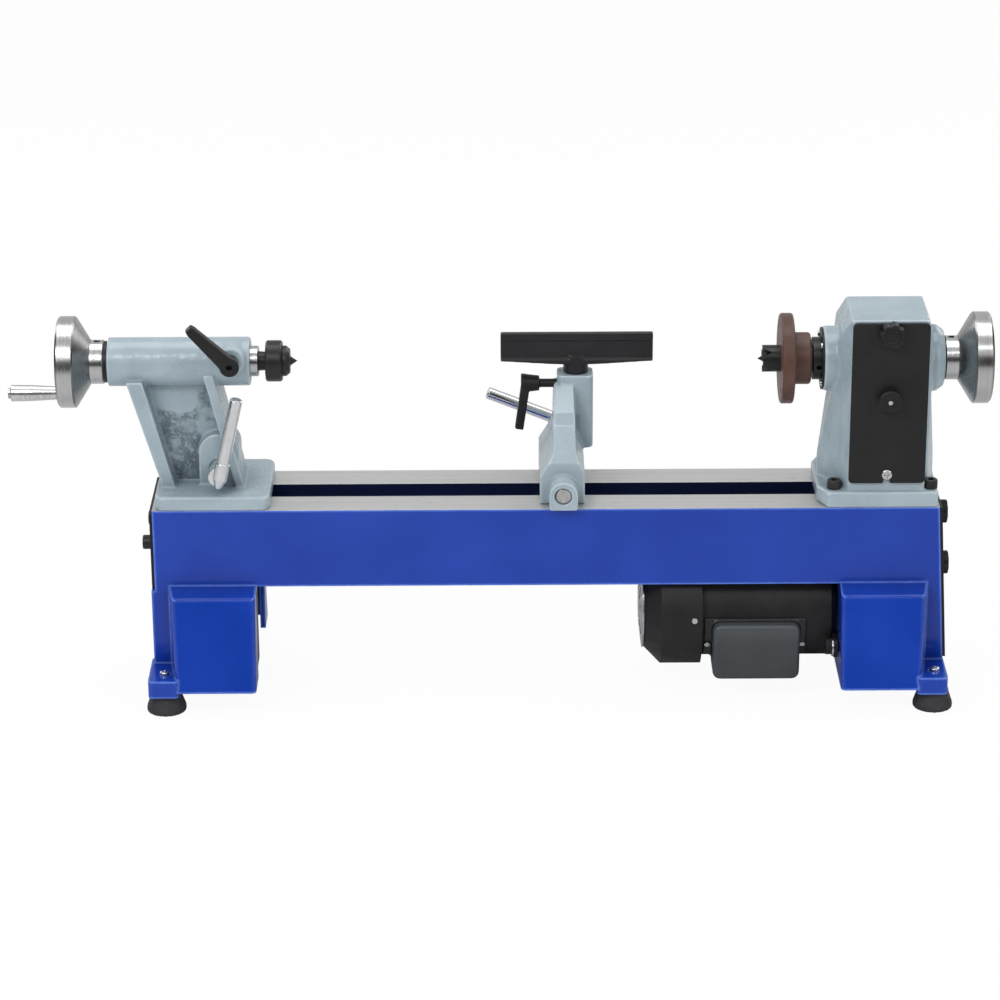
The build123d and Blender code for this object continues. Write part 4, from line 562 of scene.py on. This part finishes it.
# raised rings on the knobs' faces
low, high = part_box("cover_knob")
place = ((low.x + high.x) / 2, low.y, (low.z + high.z) / 2)
dish = ((0.0010, 0), (0.0004, -0.0009))
cap = ("cover_knob_cap", "cover_knob", "black_plastic")
round_head(*cap, place, TO_REAR, 0.0068, 0.0014, dish)
dish = ((0.0010, 0), (0.0004, -0.0007))
for level in ("upper", "lower"):
    low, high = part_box("end_cover_knob_" + level)
    place = (high.x - 0.0006, (low.y + high.y) / 2, (low.z + high.z) / 2)
    cap = ("end_knob_cap_" + level, "end_knob_" + level, "black_plastic")
    round_head(*cap, place, TO_RIGHT, 0.0068, 0.0010, dish)


# ---------------------------------------------------------------- studio


def studio_white(name, shade, glow):
    """White to the camera and in reflections, yet it still takes the machine's shadow."""
    f = Finish(name, (shade, shade, shade), 0.0, 0.9)
    rays = f.add("LightPath").outputs
    seen = f.calc("MAXIMUM", rays["Is Camera Ray"], rays["Is Glossy Ray"])
    seen = f.calc("MAXIMUM", seen, rays["Is Transmission Ray"])
    mix = f.add("MixShader", Fac=f.times(seen, glow))
    f.feed(mix.inputs[1], f.shader.outputs["BSDF"])
    f.feed(mix.inputs[2], f.add("Emission", Color=(1, 1, 1, 1)).outputs["Emission"])
    f.feed(f.nodes["Material Output"].inputs["Surface"], mix.outputs["Shader"])
    return f.material


let_go()
bpy.ops.mesh.primitive_plane_add(size=14, location=(0, 0, -0.0004))
floor = bpy.context.object
floor.name = "studio_floor"
wear(floor, studio_white("studio_floor", 0.95, 0.95))


def face_towards(thing, place):
    direction = Vector(place) - thing.location
    thing.rotation_euler = direction.to_track_quat("-Z", "Y").to_euler()


# name, place, height it is aimed at, width, length and power
LAMPS = (
    ("key", (-1.5, -2.0, 2.3), 0.15, 1.6, 1.2, 44),
    ("fill", (2.2, -1.6, 1.3), 0.15, 1.4, 1.4, 16),
    ("overhead", (0.1, 0.3, 2.4), 0.15, 2.4, 1.2, 26),
    ("strip", (0, -2.3, 2.5), 0.15, 3.6, 0.22, 12),
    ("back_left", (-2.0, 1.8, 1.3), 0.2, 1.2, 1.2, 12),
    ("back_right", (1.8, 2.0, 1.4), 0.2, 1.2, 1.2, 12),
)
for name, place, height, width, length, power in LAMPS:
    let_go()
    bpy.ops.object.light_add(type="AREA", location=place)
    light = bpy.context.object
    light.name = name
    light.data.shape = "RECTANGLE"
    light.data.size = width
    light.data.size_y = length
    light.data.energy = power
    face_towards(light, (0, 0, height))


def flag(name, corners, shade=0.012):
    """A dark card that only reflections see."""
    let_go()
    bpy.ops.mesh.primitive_plane_add(size=1)
    card = bpy.context.object
    card.name = name
    for vertex, corner in zip(card.data.vertices, corners):
        vertex.co = corner
    wear(card, Finish(name, (shade, shade, shade), 0.0, 0.5).material)
    card.visible_camera = False
    card.visible_diffuse = False
    card.visible_shadow = False


flag("flag_floor", [(x, y, 0.0002) for y in (-3, 3) for x in (-3, 3)], 0.6)
flag("flag_front", [(x, -3.4, z) for z in (0.02, 1.7) for x in (-3, 3)])
for side, x in (("flag_left", -2.2), ("flag_right", 2.2)):
    flag(side, [(x, y, z) for z in (0.0, 1.1) for y in (-1.6, 1.4)])

# the world lights the machine softly, and is white to the camera and grey in reflections
world = bpy.data.worlds.new("studio")
world.use_nodes = True
bpy.context.scene.world = world
sky = world.node_tree.nodes
wires = world.node_tree.links
rays = sky.new("ShaderNodeLightPath").outputs
seen = sky.new("ShaderNodeMath")
seen.operation = "MAXIMUM"
wires.new(rays["Is Camera Ray"], seen.inputs[0])
wires.new(rays["Is Transmission Ray"], seen.inputs[1])
power = sky.new("ShaderNodeMapRange")
power.inputs["To Min"].default_value = 0.3
power.inputs["To Max"].default_value = 1.0
wires.new(seen.outputs["Value"], power.inputs["Value"])
shine = sky.new("ShaderNodeMix")
shine.data_type = "FLOAT"
wires.new(rays["Is Glossy Ray"], shine.inputs["Factor"])
wires.new(power.outputs["Result"], shine.inputs["A"])
shine.inputs["B"].default_value = 0.6
wires.new(shine.outputs["Result"], sky["Background"].inputs["Strength"])
sky["Background"].inputs["Color"].default_value = (1, 1, 1, 1)

low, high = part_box("banjo_rod")
middle = (low.x + high.x) / 2 - 0.0578  # halfway along the camera's view
let_go()
bpy.ops.object.camera_add(location=(middle, -3.1062, 1.4007))
camera = bpy.context.object
camera.name = "camera"
camera.data.lens = 128.9
camera.data.sensor_width = 36
camera.data.clip_end = 50
face_towards(camera, (middle, AXIS_Y, 0.1759))
camera.rotation_euler.rotate_axis("Z", math.radians(-0.3))
bpy.context.scene.camera = camera
bpy.context.scene.view_settings.view_transform = "Standard"
